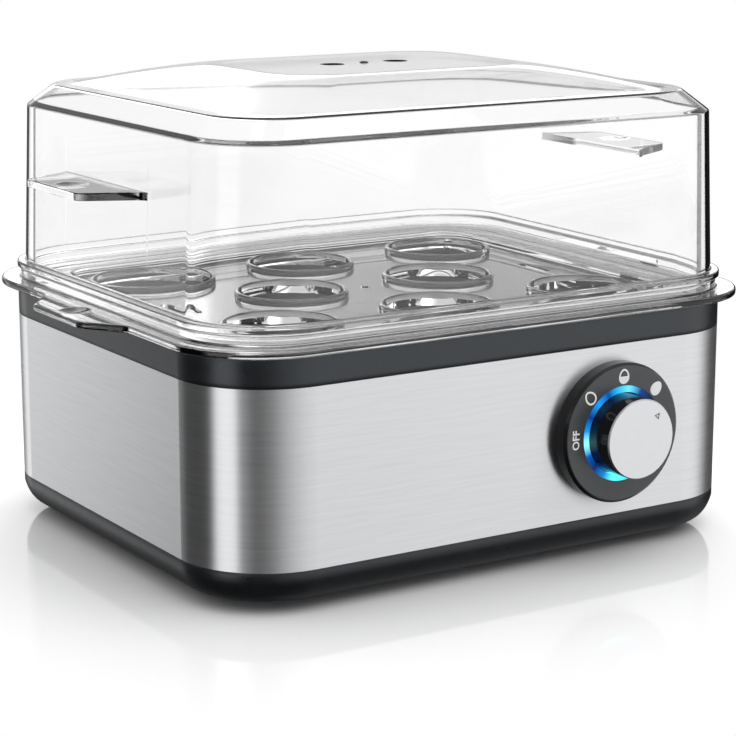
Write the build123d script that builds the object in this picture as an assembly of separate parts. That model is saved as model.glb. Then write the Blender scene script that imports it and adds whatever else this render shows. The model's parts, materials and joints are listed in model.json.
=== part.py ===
from build123d import *
import math
import os

# Electric egg cooker: a steel-banded base with a heated bowl, a clear seat tray and a clear lid.
# Millimetres. Origin on the floor under the middle of the body, +Z up, the control faces -Y.

# Body plan
body_w = 170.0
body_d = 145.0
corner_r = 25.5
min_corner_r = 3.0

# Fits and overrun
cut_over = 1.0
slip_fit = 0.1
run_fit = 0.05
turn_gap = 0.4
lift_gap = 0.5
seat_gap = 0.15

# Feet
foot_r = 6.0
foot_h = 3.0
foot_socket = 1.0
foot_inset = 26.0
foot_bevel = 0.6

# Plinth
plinth_h = 8.85
plinth_band_h = 3.0
plinth_inset = 4.3
plinth_wall = 2.2
plinth_floor = 2.5
pad_h = 3.0
rib_t = 2.0
rib_h = 3.0

# Steel band
band_h = 47.75
band_t = 0.8

# Self-tapping screws
screw_r = 1.45
screw_head_r = 2.6
screw_head_h = 2.0
screw_l = 12.0

# Top frame
frame_h = 8.4
ledge_inset = 7.0
ledge_drop = 4.0
post_r = 3.0
frame_bevel = 0.5

# Heating bowl, seal and heater
gasket_t = 1.0
bowl_t = 1.0
bowl_depth = 17.0
bowl_draft = 6.0
bowl_bend_r = 4.0
bowl_bend_share = 0.6
well_r = 45.0
well_depth = 1.0
plate_r = 44.0
plate_t = 3.5
heater_ring_r = 33.0
heater_tube_r = 3.2
heater_gap_deg = 36.0
heater_bend_r = 6.0
heater_leg_l = 8.0
strap_w = 14.0
strap_t = 1.2
stud_r = 2.0
stud_tail = 1.5
stud_nut_flat = 7.0
stud_nut_t = 3.2

# Thermostat and thermal fuse
sensor_gap = 2.0
thermo_cap_r = 8.0
thermo_cap_h = 4.0
thermo_base_r = 7.0
thermo_base_h = 5.0
thermo_ear_w = 7.0
thermo_ear_t = 0.8
thermo_screw_pitch = 23.0
thermo_screw_r = 1.2
thermo_head_r = 2.2
thermo_head_h = 1.4
thermo_screw_grip = 2.4
blade_w = 5.0
blade_t = 0.8
blade_l = 6.0
fuse_r = 2.0
fuse_l = 11.0
fuse_wire_r = 0.4
fuse_wire_l = 7.0
clip_w = 5.0
clip_t = 0.8
clip_ear = 4.0

# Control on the front of the band
control_side = 50.1
bezel_r = 19.5
bezel_t = 4.5
bezel_bevel = 0.9
spigot_r = 14.0
spigot_t = 3.0
light_r = 13.2
light_w = 1.7
light_t = 3.0
light_leg_r = 0.6
light_leg_count = 8
led_size = 1.6
led_t = 0.8
led_pocket_r = 1.5
led_pocket_t = 1.0
spacer_w = 2.5
board_w = 40.0
board_h = 32.0
board_t = 1.6
board_corner_r = 2.0
neck_r = 3.5
neck_tail = 1.8
neck_nut_flat = 10.0
neck_nut_t = 1.6
switch_size = 14.0
switch_t = 7.0
switch_end_t = 1.4
buzzer_r = 4.5
buzzer_t = 5.0
buzzer_hole_r = 0.8
relay_w = 10.0
relay_h = 15.0
relay_t = 9.0
socket_w = 12.0
socket_h = 5.0
socket_t = 6.0
board_edge = 2.0

# Knob
knob_r = 11.06
knob_out = 12.5
knob_wall = 1.6
knob_face_t = 1.6
cap_rim = 0.9
cap_t = 1.0
cap_plate_t = 0.5
cap_bevel = 0.3
hub_r = 5.2
shaft_r = 3.0
shaft_flat = 1.2

# Cord inlet and wiring
inlet_side = 45.0
inlet_up = 13.0
inlet_bore_r = 3.3
inlet_neck_r = 5.0
inlet_neck_l = 7.0
inlet_flange_r = 7.5
inlet_flange_t = 2.2
inlet_bevel = 0.8
inlet_nut_flat = 13.0
inlet_nut_t = 3.0
terminal_w = 26.0
terminal_d = 12.0
terminal_h = 11.0
terminal_back = 22.0
terminal_screw_r = 1.7
terminal_screw_t = 1.0
wire_r = 1.1
wire_bend_r = 5.0
wire_bend_share = 0.9
supply_rise = 5.0
supply_spread = 2.5

# Seat tray
tray_t = 2.0
flange_over = 3.8
flange_r = 26.7
rim_inset = 0.8
rim_t = 2.0
rim_h = 2.75
recess_inset = 15.0
recess_wall = 2.0
recess_drop = 3.0
skirt_t = 1.5
skirt_h = 1.5
seat_r = 15.0
seat_lip_t = 1.5
seat_lip_h = 2.0
seat_lip_bevel = 0.8
seat_edge = 1.5
seats_per_row = 3
drain_r = 1.5
drain_edge = 1.2
steam_slot_w = 3.0
steam_slot_l = 14.0
steam_slot_edge = 8.0
tray_tab_reach = 8.6
tray_tab_tip = 29.2
tray_tab_root = 52.0

# Lid
lid_t = 2.0
lid_flange_t = 2.0
lid_foot_inset = 2.85
lid_wall_h = 45.4
lid_shoulder_inset = 4.2
lid_slope_run = 6.6
lid_slope_h = 5.15
lid_top_r = 12.4
lid_skirt_h = 1.8
dome_base_w = 136.0
dome_base_d = 116.0
dome_base_r = 15.0
dome_top_w = 78.0
dome_top_d = 56.0
dome_top_r = 10.0
dome_h = 6.5
dome_swell_share = 0.62
vent_r = 3.5
vent_pitch = 21.0
lid_tab_up = 29.2
lid_tab_t = 2.1
lid_tab_reach = 16.0
lid_tab_tip = 32.0
lid_tab_root = 47.0
tab_corner_r = 4.0
dimple_r = 4.5
dimple_deep = 0.6

# Levels worked out from the floor upwards
plinth_z0 = foot_h
plinth_floor_z = plinth_z0 + plinth_floor
pad_z = plinth_floor_z + pad_h
plinth_z1 = plinth_z0 + plinth_h
band_z0 = plinth_z1
band_z1 = band_z0 + band_h
frame_z0 = band_z1
frame_z1 = frame_z0 + frame_h
ledge_z = frame_z1 - ledge_drop
bowl_rim_z0 = ledge_z + gasket_t
bowl_rim_z1 = bowl_rim_z0 + bowl_t
bowl_z0 = bowl_rim_z1 - bowl_depth - bowl_t
plate_z1 = bowl_z0 - well_depth
plate_z0 = plate_z1 - plate_t
strap_z1 = plate_z0 - heater_tube_r - slip_fit
strap_z0 = strap_z1 - strap_t
tray_z0 = frame_z1 + seat_gap
tray_z1 = tray_z0 + tray_t
rim_z1 = tray_z1 + rim_h
recess_z1 = tray_z1 - recess_drop
recess_z0 = recess_z1 - tray_t
lid_z0 = rim_z1 + seat_gap
lid_wall_z0 = lid_z0 + lid_flange_t
shoulder_z = lid_wall_z0 + lid_wall_h
crown_z = shoulder_z + lid_slope_h
dome_z = crown_z + dome_h

# Insets from the body plan
rib_inset = band_t + slip_fit
cavity_inset = plinth_inset + plinth_wall
post_inset = cavity_inset + post_r + slip_fit + slip_fit
ledge_in_inset = post_inset + post_r
bowl_inset = ledge_in_inset + lift_gap
skirt_inset = ledge_inset + lift_gap
lid_skirt_inset = rim_inset + rim_t + lift_gap
crown_inset = lid_shoulder_inset + lid_slope_run

# Control levels, measured outwards from the face of the band
light_p = bezel_t - light_t
board_p1 = -spigot_t
board_p0 = board_p1 - board_t
knob_p0 = light_p + turn_gap
knob_p1 = knob_out - cap_plate_t
cap_p0 = knob_out - cap_t
knob_cavity_p = cap_p0 - knob_face_t
hub_p = light_p + neck_nut_t + neck_tail + turn_gap

# Frames of the front control and the back inlet, local Z pointing out of the body
front = Pos(body_w / 2 - control_side, -body_d / 2, (band_z0 + band_z1) / 2) * Rot(X=90)
back = Pos(inlet_side - body_w / 2, body_d / 2, band_z0 + inlet_up) * Rot(X=-90)

UP = (Align.CENTER, Align.CENTER, Align.MIN)
SIDES = (-1, 1)


def plan(inset, radius=corner_r):
    """Body plan drawn in by an inset, or let out by a negative one."""
    rounded = max(radius - inset, min_corner_r)
    return RectangleRounded(body_w - 2 * inset, body_d - 2 * inset, rounded)


def slab(outline, z0, z1):
    """An outline raised from one level to another."""
    return extrude(Pos(0, 0, z0) * outline, z1 - z0)


def hoop(inset_out, inset_in, z0, z1):
    """A ring along the body plan, between two insets and two levels."""
    return slab(plan(inset_out), z0, z1) - slab(plan(inset_in), z0 - cut_over, z1 + cut_over)


def taper(low, z0, high, z1):
    """A straight-sided solid from one outline up to another."""
    return loft([Pos(0, 0, z0) * low, Pos(0, 0, z1) * high], ruled=True)


def disc(r, z0, z1):
    """A round bar along Z between two levels."""
    return Pos(0, 0, z0) * Cylinder(r, z1 - z0, align=UP)


def tube(r_out, r_in, z0, z1):
    """A round tube along Z between two levels."""
    return disc(r_out, z0, z1) - disc(r_in, z0 - cut_over, z1 + cut_over)


def block(x, y, z0, z1):
    """A box centred on Z between two levels."""
    return Pos(0, 0, z0) * Box(x, y, z1 - z0, align=UP)


def hex_nut(flat, bore_r, z0, z1):
    """A six-sided nut, given across its flats."""
    outline = RegularPolygon(flat / 2, 6, major_radius=False)
    return slab(outline, z0, z1) - disc(bore_r, z0 - cut_over, z1 + cut_over)


def screw(shank_r, head_r, head_h, z_seat, z_tip):
    """A pan-head screw that points up, its head under the seat level."""
    return disc(head_r, z_seat - head_h, z_seat) + disc(shank_r, z_seat, z_tip)


def group(solids):
    """Several separate solids as one node."""
    return Compound(children=list(solids))


def foot_places():
    """Centres of the feet, drawn in from the corners of the plan box."""
    x = body_w / 2 - foot_inset
    y = body_d / 2 - foot_inset
    return [Pos(i * x, j * y, 0) for i in SIDES for j in SIDES]


def post_places():
    """Centres of the corner posts, on the diagonals of the rounded corners."""
    reach = (corner_r - post_inset) * math.sqrt(2) / 2
    x = body_w / 2 - corner_r + reach
    y = body_d / 2 - corner_r + reach
    return [Pos(i * x, j * y, 0) for i in SIDES for j in SIDES]


def strap_places():
    """Centres of the two bosses that hold the bowl strap."""
    return [Pos(i * (body_w / 2 - post_inset), 0, 0) for i in SIDES]


def seat_places():
    """Staggered rows of seats, the middle row one seat shorter."""
    reach = recess_inset + recess_wall + seat_edge + seat_lip_t + seat_r
    pitch = (body_w - 2 * reach) / (seats_per_row - 1)
    row_y = body_d / 2 - reach
    places = []
    for row in (-1, 0, 1):
        count = seats_per_row if row else seats_per_row - 1
        places += [Pos((k - (count - 1) / 2) * pitch, row * row_y, 0) for k in range(count)]
    return places


def light_places():
    """Places of the light legs round the control axis."""
    radius = light_r - light_w / 2
    return [Rot(Z=360 * k / light_leg_count) * Pos(radius, 0, 0) for k in range(light_leg_count)]


def base_plinth():
    """Moulded pan: sloped skirt, upright edge, floor, screw pads and a rib that centres the band."""
    bend_z = plinth_z1 - plinth_band_h
    pan = taper(plan(plinth_inset), plinth_z0, plan(0), bend_z) + slab(plan(0), bend_z, plinth_z1)
    pan -= slab(plan(cavity_inset), plinth_floor_z, plinth_z1 + cut_over)
    pan += hoop(rib_inset, rib_inset + rib_t, bend_z, plinth_z1 + rib_h)
    for place in post_places():
        pan += place * disc(post_r, plinth_floor_z - plinth_floor / 2, pad_z)
        pan -= place * disc(screw_head_r + slip_fit, plinth_z0 - cut_over, plinth_z0 + pad_h)
        pan -= place * disc(screw_r + slip_fit, plinth_z0, pad_z + cut_over)
    for place in foot_places():
        pan -= place * disc(foot_r + slip_fit, plinth_z0 - cut_over, plinth_z0 + foot_socket)
    return pan


def rubber_feet():
    """Round feet pressed into the sockets under the plinth."""
    foot = disc(foot_r, 0, foot_h + foot_socket)
    foot = chamfer(foot.edges().group_by(Axis.Z)[0], foot_bevel)
    return group(place * foot for place in foot_places())


def plinth_screws():
    """Screws that pull the plinth up to the corner posts."""
    seat = plinth_z0 + pad_h
    return group(
        place * screw(screw_r, screw_head_r, screw_head_h, seat, seat + screw_l) for place in post_places()
    )


def steel_band():
    """Wrapped sheet with a hole for the control and one for the cord inlet."""
    band = hoop(0, band_t, band_z0, band_z1)
    band -= front * disc(spigot_r + slip_fit, -band_t - cut_over, cut_over)
    band -= back * disc(inlet_neck_r + slip_fit, -band_t - cut_over, cut_over)
    return band


def top_frame():
    """Ring over the band: ledge for the bowl, rib into the band, corner posts and strap bosses."""
    ring = slab(plan(0), frame_z0, frame_z1)
    ring = chamfer(ring.edges().group_by(Axis.Z)[-1], frame_bevel)
    ring -= slab(plan(ledge_inset), ledge_z, frame_z1 + cut_over)
    ring -= slab(plan(ledge_in_inset), frame_z0 - cut_over, frame_z1)
    ring += hoop(rib_inset, rib_inset + rib_t, frame_z0 - rib_h, frame_z0 + rib_t)
    root_z = frame_z0 + rib_t
    for place in post_places():
        ring += place * disc(post_r, pad_z, root_z)
        ring -= place * disc(screw_r + run_fit, pad_z - cut_over, plinth_z0 + pad_h + screw_l + cut_over)
    for place in strap_places():
        ring += place * disc(post_r, strap_z1, root_z)
        ring -= place * disc(screw_r + run_fit, strap_z1 - cut_over, strap_z0 + screw_l + cut_over)
    return ring


def bowl_gasket():
    """Flat seal between the ledge and the bowl's rim."""
    return hoop(ledge_inset + lift_gap, ledge_in_inset, ledge_z, bowl_rim_z0)


def bowl_form(grow, z_top):
    """Sloped dish form, grown outwards by a wall thickness, with rounded floor edges."""
    low = plan(bowl_inset + bowl_draft + bowl_t - grow)
    high = plan(bowl_inset + bowl_t - grow)
    form = taper(low, bowl_z0 + bowl_t - grow, high, z_top)
    corner = max(corner_r - bowl_inset - bowl_draft - bowl_t, min_corner_r)
    bend = min(bowl_bend_r, bowl_bend_share * corner) + grow
    return fillet(form.edges().group_by(Axis.Z)[0], bend)


def heating_bowl():
    """Pressed dish with a flat rim and a round well in its floor."""
    bowl = bowl_form(bowl_t, bowl_rim_z1)
    bowl += slab(plan(ledge_inset + lift_gap), bowl_rim_z0, bowl_rim_z1)
    bowl += disc(well_r + bowl_t, bowl_z0 - well_depth, bowl_z0 + bowl_t)
    bowl -= bowl_form(0, bowl_rim_z1)
    bowl -= disc(well_r, bowl_z0 + bowl_t - well_depth, bowl_z0 + bowl_t + cut_over)
    return bowl


def heat_plate():
    """Round plate under the well, grooved for the heater and drilled for the stud and screws."""
    plate = disc(plate_r, plate_z0, plate_z1)
    plate -= Pos(0, 0, plate_z0) * Torus(heater_ring_r, heater_tube_r + slip_fit)
    plate -= disc(stud_r + slip_fit, plate_z0 - cut_over, plate_z1 + cut_over)
    for place in thermo_screw_places():
        plate -= place * disc(thermo_screw_r + run_fit, plate_z0 - cut_over, plate_z1 + cut_over)
    return plate


def heater_element():
    """Tubular heater: an open ring with both ends bent down into straight legs."""
    start = 90 + heater_gap_deg / 2
    end = 450 - heater_gap_deg / 2
    section = Plane(origin=(heater_ring_r, 0, plate_z0), z_dir=(0, 1, 0)) * Circle(heater_tube_r)
    ring = revolve(Rot(Z=start) * section, Axis.Z, end - start)
    for angle, turn in ((start, -1), (end, 1)):
        bend_axis = Axis((heater_ring_r, 0, plate_z0 - heater_bend_r), (-turn, 0, 0))
        bend = revolve(section, bend_axis, 90)
        leg_z = plate_z0 - heater_bend_r
        leg = Pos(heater_ring_r, turn * heater_bend_r, 0) * disc(heater_tube_r, leg_z - heater_leg_l, leg_z)
        ring += Rot(Z=angle) * (bend + leg)
    return ring


def bowl_strap():
    """Flat strap that pulls the bowl down onto its seal and presses the heater up."""
    length = body_w - 2 * (post_inset - post_r)
    strap = block(length, strap_w, strap_z0, strap_z1)
    strap -= disc(stud_r + slip_fit, strap_z0 - cut_over, strap_z1 + cut_over)
    for place in strap_places():
        strap -= place * disc(screw_r + slip_fit, strap_z0 - cut_over, strap_z1 + cut_over)
    return strap


def strap_screws():
    """Screws that hold the strap up to the frame's bosses."""
    return group(
        place * screw(screw_r, screw_head_r, screw_head_h, strap_z0, strap_z0 + screw_l)
        for place in strap_places()
    )


def bowl_stud():
    """Stud that hangs from the bowl's well through the plate and the strap."""
    return disc(stud_r, strap_z0 - stud_nut_t - stud_tail, plate_z1)


def stud_nut():
    """Nut on the bowl stud, under the strap."""
    return hex_nut(stud_nut_flat, stud_r + run_fit, strap_z0 - stud_nut_t, strap_z0)


def thermo_place():
    """Centre of the thermostat, behind the strap."""
    return Pos(0, strap_w / 2 + sensor_gap + thermo_cap_r, 0)


def thermo_screw_places():
    """The two screws of the thermostat's ears."""
    return [thermo_place() * Pos(i * thermo_screw_pitch / 2, 0, 0) for i in SIDES]


def thermostat():
    """Snap-disc thermostat: cap against the plate, ears, base and two blade tags."""
    cap_z = plate_z0 - thermo_cap_h
    base_z = cap_z - thermo_base_h
    body = disc(thermo_cap_r, cap_z, plate_z0) + disc(thermo_base_r, base_z, cap_z)
    ear_l = thermo_screw_pitch + thermo_ear_w
    ears = slab(SlotOverall(ear_l, thermo_ear_w), plate_z0 - thermo_ear_t, plate_z0)
    for i in SIDES:
        hole = disc(thermo_screw_r + slip_fit, plate_z0 - thermo_ear_t - cut_over, plate_z0 + cut_over)
        ears -= Pos(i * thermo_screw_pitch / 2, 0, 0) * hole
        body += Pos(i * thermo_base_r / 2, 0, 0) * block(blade_t, blade_w, base_z - blade_l, base_z)
    return thermo_place() * (body + ears)


def thermostat_screws():
    """Screws through the thermostat's ears into the plate."""
    seat = plate_z0 - thermo_ear_t
    one = screw(thermo_screw_r, thermo_head_r, thermo_head_h, seat, seat + thermo_screw_grip)
    return group(place * one for place in thermo_screw_places())


def fuse_place():
    """Axis of the thermal fuse, in front of the strap and under the plate."""
    y = strap_w / 2 + sensor_gap + fuse_r + clip_t + clip_ear
    return Pos(0, -y, plate_z0 - fuse_r - slip_fit)


def thermal_fuse():
    """Round fuse with a wire out of each end."""
    length = fuse_l + 2 * fuse_wire_l
    fuse = Rot(Y=90) * (Cylinder(fuse_r, fuse_l) + Cylinder(fuse_wire_r, length))
    return fuse_place() * fuse


def fuse_clip():
    """Bent clip that holds the fuse against the plate, with an ear each side."""
    inner = 2 * (fuse_r + slip_fit)
    low = plate_z0 - inner
    width = inner + 2 * clip_t
    clip = block(clip_w, width, low - clip_t, plate_z0)
    clip += block(clip_w, width + 2 * clip_ear, plate_z0 - clip_t, plate_z0)
    clip -= block(clip_w + cut_over, inner, low, plate_z0 + cut_over)
    return Pos(0, fuse_place().position.Y, 0) * clip


def control_bezel():
    """Round dial plate with a light well, a spigot through the band and pockets for the lamps."""
    bezel = disc(bezel_r, 0, bezel_t)
    bezel = chamfer(bezel.edges().group_by(Axis.Z)[-1], bezel_bevel)
    bezel += disc(spigot_r, board_p1, 0)
    bezel -= disc(light_r + slip_fit, light_p, bezel_t + cut_over)
    bezel -= disc(neck_r + slip_fit, board_p1 - cut_over, bezel_t)
    for place in light_places():
        bezel -= place * disc(light_leg_r + slip_fit, board_p1 - cut_over, bezel_t)
        bezel -= place * disc(led_pocket_r, board_p1 - cut_over, board_p1 + led_pocket_t)
    return front * bezel


def light_ring():
    """Clear ring flush with the dial face, with legs that lead back to the lamps."""
    ring = tube(light_r, light_r - light_w, light_p, bezel_t)
    for place in light_places():
        ring += place * disc(light_leg_r, board_p1 + led_t + slip_fit, light_p + light_t / 2)
    return front * ring


def board_spacer():
    """Insulating ring between the band and the control board."""
    inner = spigot_r + slip_fit
    return front * tube(inner + spacer_w, inner, board_p1, -band_t)


def control_board():
    """Circuit board behind the dial."""
    board = slab(RectangleRounded(board_w, board_h, board_corner_r), board_p0, board_p1)
    return front * (board - disc(neck_r + slip_fit, board_p0 - cut_over, board_p1 + cut_over))


def board_lamps():
    """Lamps on the board, one behind each light leg."""
    lamp = block(led_size, led_size, board_p1, board_p1 + led_t)
    return group(front * place * lamp for place in light_places())


def rotary_switch():
    """Switch body behind the board, with a threaded neck through the dial and a blind shaft bore."""
    body = block(switch_size, switch_size, board_p0 - switch_t, board_p0)
    neck_p = light_p + neck_nut_t + neck_tail
    body += disc(neck_r, board_p0 - switch_t / 2, neck_p)
    body -= disc(shaft_r + run_fit, board_p0 - switch_t + switch_end_t, neck_p + cut_over)
    return front * body


def switch_nut():
    """Nut that clamps the switch, the board and the dial plate together."""
    return front * hex_nut(neck_nut_flat, neck_r + run_fit, light_p, light_p + neck_nut_t)


def board_side(width):
    """Offset from the board's middle to a piece of that width at the board's edge."""
    return (board_w - width) / 2 - board_edge


def buzzer():
    """Round sounder on the back of the board, with a sound hole."""
    body = disc(buzzer_r, board_p0 - buzzer_t, board_p0)
    body -= disc(buzzer_hole_r, board_p0 - buzzer_t - cut_over, board_p0 - buzzer_t / 2)
    return front * Pos(board_side(2 * buzzer_r), board_h / 2 - board_edge - buzzer_r, 0) * body


def relay():
    """Relay that switches the heater, on the back of the board."""
    return front * Pos(-board_side(relay_w), 0, 0) * block(relay_w, relay_h, board_p0 - relay_t, board_p0)


def wire_socket_place():
    """Middle of the wire socket, at the board's lower edge."""
    return front * Pos(0, (socket_h - board_h) / 2 + board_edge / 2, 0)


def wire_socket():
    """Socket on the back of the board for the supply wires."""
    return wire_socket_place() * block(socket_w, socket_h, board_p0 - socket_t, board_p0)


def knob_body():
    """Knob shell with a hub on the flatted shaft and a seat for the metal cap."""
    knob = disc(knob_r, knob_p0, knob_p1)
    knob -= disc(knob_r - knob_wall, knob_p0 - cut_over, knob_cavity_p)
    knob += disc(hub_r, hub_p, cap_p0)
    knob -= disc(knob_r - cap_rim, cap_p0, knob_out + cut_over)
    return front * (knob - shaft_form(run_fit, hub_p - cut_over))


def knob_cap():
    """Metal cap over the whole front of the knob, with a plug set in the knob's seat."""
    cap = disc(knob_r, knob_p1, knob_out)
    cap = chamfer(cap.edges().group_by(Axis.Z)[-1], cap_bevel)
    return front * (cap + disc(knob_r - cap_rim - slip_fit, cap_p0, knob_p1))


def shaft_form(grow, z_low):
    """Shaft end with a flat, grown by a clearance, up to the cap's seat."""
    round_bar = disc(shaft_r + grow, z_low, cap_p0 - knob_face_t / 2)
    side = 2 * (shaft_r + cut_over)
    offset = shaft_r - shaft_flat + grow + side / 2
    return round_bar - Pos(0, -offset, 0) * block(side, side, hub_p - cut_over, knob_out)


def switch_shaft():
    """Turning shaft from the switch's blind bore into the knob's hub."""
    end = board_p0 - switch_t + switch_end_t + turn_gap
    return front * (shaft_form(0, hub_p - turn_gap) + disc(shaft_r, end, hub_p - turn_gap))


def cord_inlet():
    """Bushing through the back of the band that the supply cord passes."""
    bush = disc(inlet_flange_r, 0, inlet_flange_t)
    bush = chamfer(bush.edges().group_by(Axis.Z)[-1], inlet_bevel)
    bush += disc(inlet_neck_r, -inlet_neck_l, 0)
    return back * (bush - disc(inlet_bore_r, -inlet_neck_l - cut_over, inlet_flange_t + cut_over))


def inlet_nut():
    """Nut on the bushing, behind the band."""
    return back * hex_nut(inlet_nut_flat, inlet_neck_r + run_fit, -band_t - inlet_nut_t, -band_t)


def terminal_place():
    """Middle of the terminal block, on the plinth's floor near the back."""
    return Pos(0, body_d / 2 - terminal_back - terminal_d / 2, plinth_floor_z)


def terminal_places():
    """The three clamps along the terminal block."""
    return [terminal_place() * Pos(i * terminal_w / 3, 0, terminal_h) for i in (-1, 0, 1)]


def terminal_block():
    """Insulating block with a sunk clamp screw for each wire."""
    body = terminal_place() * block(terminal_w, terminal_d, 0, terminal_h)
    for place in terminal_places():
        body -= place * disc(terminal_screw_r + slip_fit, -terminal_screw_t, cut_over)
    return body


def terminal_screws():
    """Clamp screws in the terminal block."""
    return group(place * disc(terminal_screw_r, -terminal_screw_t, 0) for place in terminal_places())


def wire(points):
    """A round wire along straight runs joined by tangent bends that leave part of each run straight."""
    runs = [(Vector(b) - Vector(a)).length for a, b in zip(points, points[1:])]
    room = min(runs[0], runs[-1], *(run / 2 for run in runs[1:-1]))
    path = FilletPolyline(*points, radius=min(wire_bend_r, wire_bend_share * room))
    return sweep(Plane(origin=path @ 0, z_dir=path % 0) * Circle(wire_r), path=path)


def heater_wires():
    """Wires from the heater's legs to the back of the terminal block."""
    middle = terminal_place().position
    leg_z = plate_z0 - heater_bend_r - heater_leg_l
    fall_z = (leg_z + middle.Z + terminal_h) / 2
    turn = math.radians(heater_gap_deg / 2)
    across = heater_ring_r * math.sin(turn) - heater_bend_r * math.cos(turn)
    along = heater_ring_r * math.cos(turn) + heater_bend_r * math.sin(turn)
    rear_y = middle.Y + terminal_d / 2 - wire_r
    wires = []
    for i in SIDES:
        points = [(i * across, along, leg_z), (i * across, along, fall_z)]
        points += [(i * across, rear_y, fall_z), (i * across, rear_y, middle.Z + terminal_h)]
        wires.append(wire(points))
    return group(wires)


def supply_wires():
    """Wires from the terminal block's front along the floor to the board's socket."""
    block_front = terminal_place().position
    start_y = block_front.Y - terminal_d / 2
    low_z = block_front.Z + supply_rise
    end = (wire_socket_place() * Pos(0, 0, board_p0 - socket_t)).position
    wires = []
    for i in SIDES:
        side = i * supply_spread
        points = [(side, start_y, low_z), (side, start_y / 2, low_z)]
        points += [(end.X + side, end.Y / 2, end.Z), (end.X + side, end.Y, end.Z)]
        wires.append(wire(points))
    return group(wires)


def finger_tab(x_root, x_tip, root, tip, z0, z1):
    """Tapered finger tab on the right side, with rounded tip corners and a thumb dimple on top."""
    points = [(x_root, -root / 2), (x_tip, -tip / 2), (x_tip, tip / 2), (x_root, root / 2)]
    outline = make_face(Polyline(*points, close=True))
    outline = fillet(outline.vertices().group_by(Axis.X)[-1], tab_corner_r)
    ball_r = (dimple_r**2 + dimple_deep**2) / (2 * dimple_deep)
    middle = x_tip - tab_corner_r - dimple_r / 2
    return slab(outline, z0, z1) - Pos(middle, 0, z1 + ball_r - dimple_deep) * Sphere(ball_r)


def both_sides(tab):
    """A right-hand piece and its copy turned to the left."""
    return tab + Rot(Z=180) * tab


def egg_tray():
    """Clear tray: flange with finger tabs, upright rim, recessed floor with lipped seats and slots."""
    tip_x = body_w / 2 + flange_over + tray_tab_reach
    tab = finger_tab(body_w / 2, tip_x, tray_tab_root, tray_tab_tip, tray_z0, tray_z1)
    tray = slab(plan(-flange_over, flange_r - flange_over), tray_z0, tray_z1) + both_sides(tab)
    tray += hoop(rim_inset, rim_inset + rim_t, tray_z0, rim_z1)
    tray += hoop(skirt_inset, skirt_inset + skirt_t, tray_z0 - skirt_h, tray_z1)
    tray += slab(plan(recess_inset), recess_z0, tray_z1)
    tray -= slab(plan(recess_inset + recess_wall), recess_z1, tray_z1 + cut_over)
    lip = disc(seat_r + seat_lip_t, recess_z0, recess_z1 + seat_lip_h)
    lip = chamfer(lip.edges().group_by(Axis.Z)[-1], seat_lip_bevel)
    for place in seat_places():
        tray += place * lip
    for place in seat_places():
        tray -= place * disc(seat_r, recess_z0 - cut_over, rim_z1)
    return tray - tray_vents()


def tray_vents():
    """Drain holes in the floor's corners and a steam slot at each end of the floor."""
    low = recess_z0 - cut_over
    inset = recess_inset + recess_wall
    corner = max(corner_r - inset, min_corner_r)
    reach = (corner - drain_r - drain_edge) * math.sqrt(2) / 2
    x = body_w / 2 - inset - corner + reach
    y = body_d / 2 - inset - corner + reach
    slot = slab(Rot(Z=90) * SlotOverall(steam_slot_l, steam_slot_w), low, rim_z1)
    cuts = [Pos(i * x, j * y, 0) * disc(drain_r, low, rim_z1) for i in SIDES for j in SIDES]
    cuts += [Pos(i * (body_w / 2 - inset - steam_slot_edge), 0, 0) * slot for i in SIDES]
    return cuts + [disc(drain_r, low, rim_z1)]


def lid_form(thickness):
    """Lid's outer form, or its inner form when drawn in by the wall's thickness."""
    slope = math.atan2(lid_slope_h, lid_slope_run)
    shoulder_drop = thickness * math.tan((math.pi / 2 - slope) / 2)
    crown_draw = thickness * math.tan(slope / 2)
    foot = plan(lid_foot_inset + thickness)
    shoulder = plan(lid_shoulder_inset + thickness)
    crown = plan(crown_inset + crown_draw, lid_top_r + crown_inset)
    form = taper(foot, lid_wall_z0, shoulder, shoulder_z - shoulder_drop)
    form += taper(shoulder, shoulder_z - shoulder_drop, crown, crown_z - thickness)
    base = RectangleRounded(dome_base_w, dome_base_d, dome_base_r)
    top = RectangleRounded(dome_top_w, dome_top_d, dome_top_r)
    swell_w = (dome_base_w + dome_top_w) / 2
    swell_d = (dome_base_d + dome_top_d) / 2
    swell = RectangleRounded(swell_w, swell_d, (dome_base_r + dome_top_r) / 2)
    swell_z = crown_z + dome_swell_share * dome_h - thickness
    form += taper(base, crown_z - thickness, swell, swell_z)
    return form + taper(swell, swell_z, top, dome_z - thickness)


def lid():
    """Clear cover: flange, locating skirt, drafted walls, sloped shoulder, domed top, vents and tabs."""
    tab_z = lid_wall_z0 + lid_tab_up
    root_x = body_w / 2 - lid_shoulder_inset - lid_t / 2
    wall_x = body_w / 2 - (lid_foot_inset + lid_shoulder_inset) / 2
    reach_x = wall_x + lid_tab_reach
    tab = finger_tab(root_x, reach_x, lid_tab_root, lid_tab_tip, tab_z - lid_tab_t, tab_z)
    inner_inset = lid_foot_inset + lid_t
    cover = lid_form(0) + slab(plan(0), lid_z0, lid_wall_z0) + both_sides(tab)
    cover += slab(plan(lid_skirt_inset), lid_z0 - lid_skirt_h, lid_wall_z0)
    cover -= lid_form(lid_t)
    cover -= slab(plan(inner_inset), lid_z0 - lid_skirt_h - cut_over, lid_wall_z0)
    for i in SIDES:
        cover -= Pos(i * vent_pitch / 2, 0, 0) * disc(vent_r, crown_z, dome_z + cut_over)
    return cover


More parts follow.
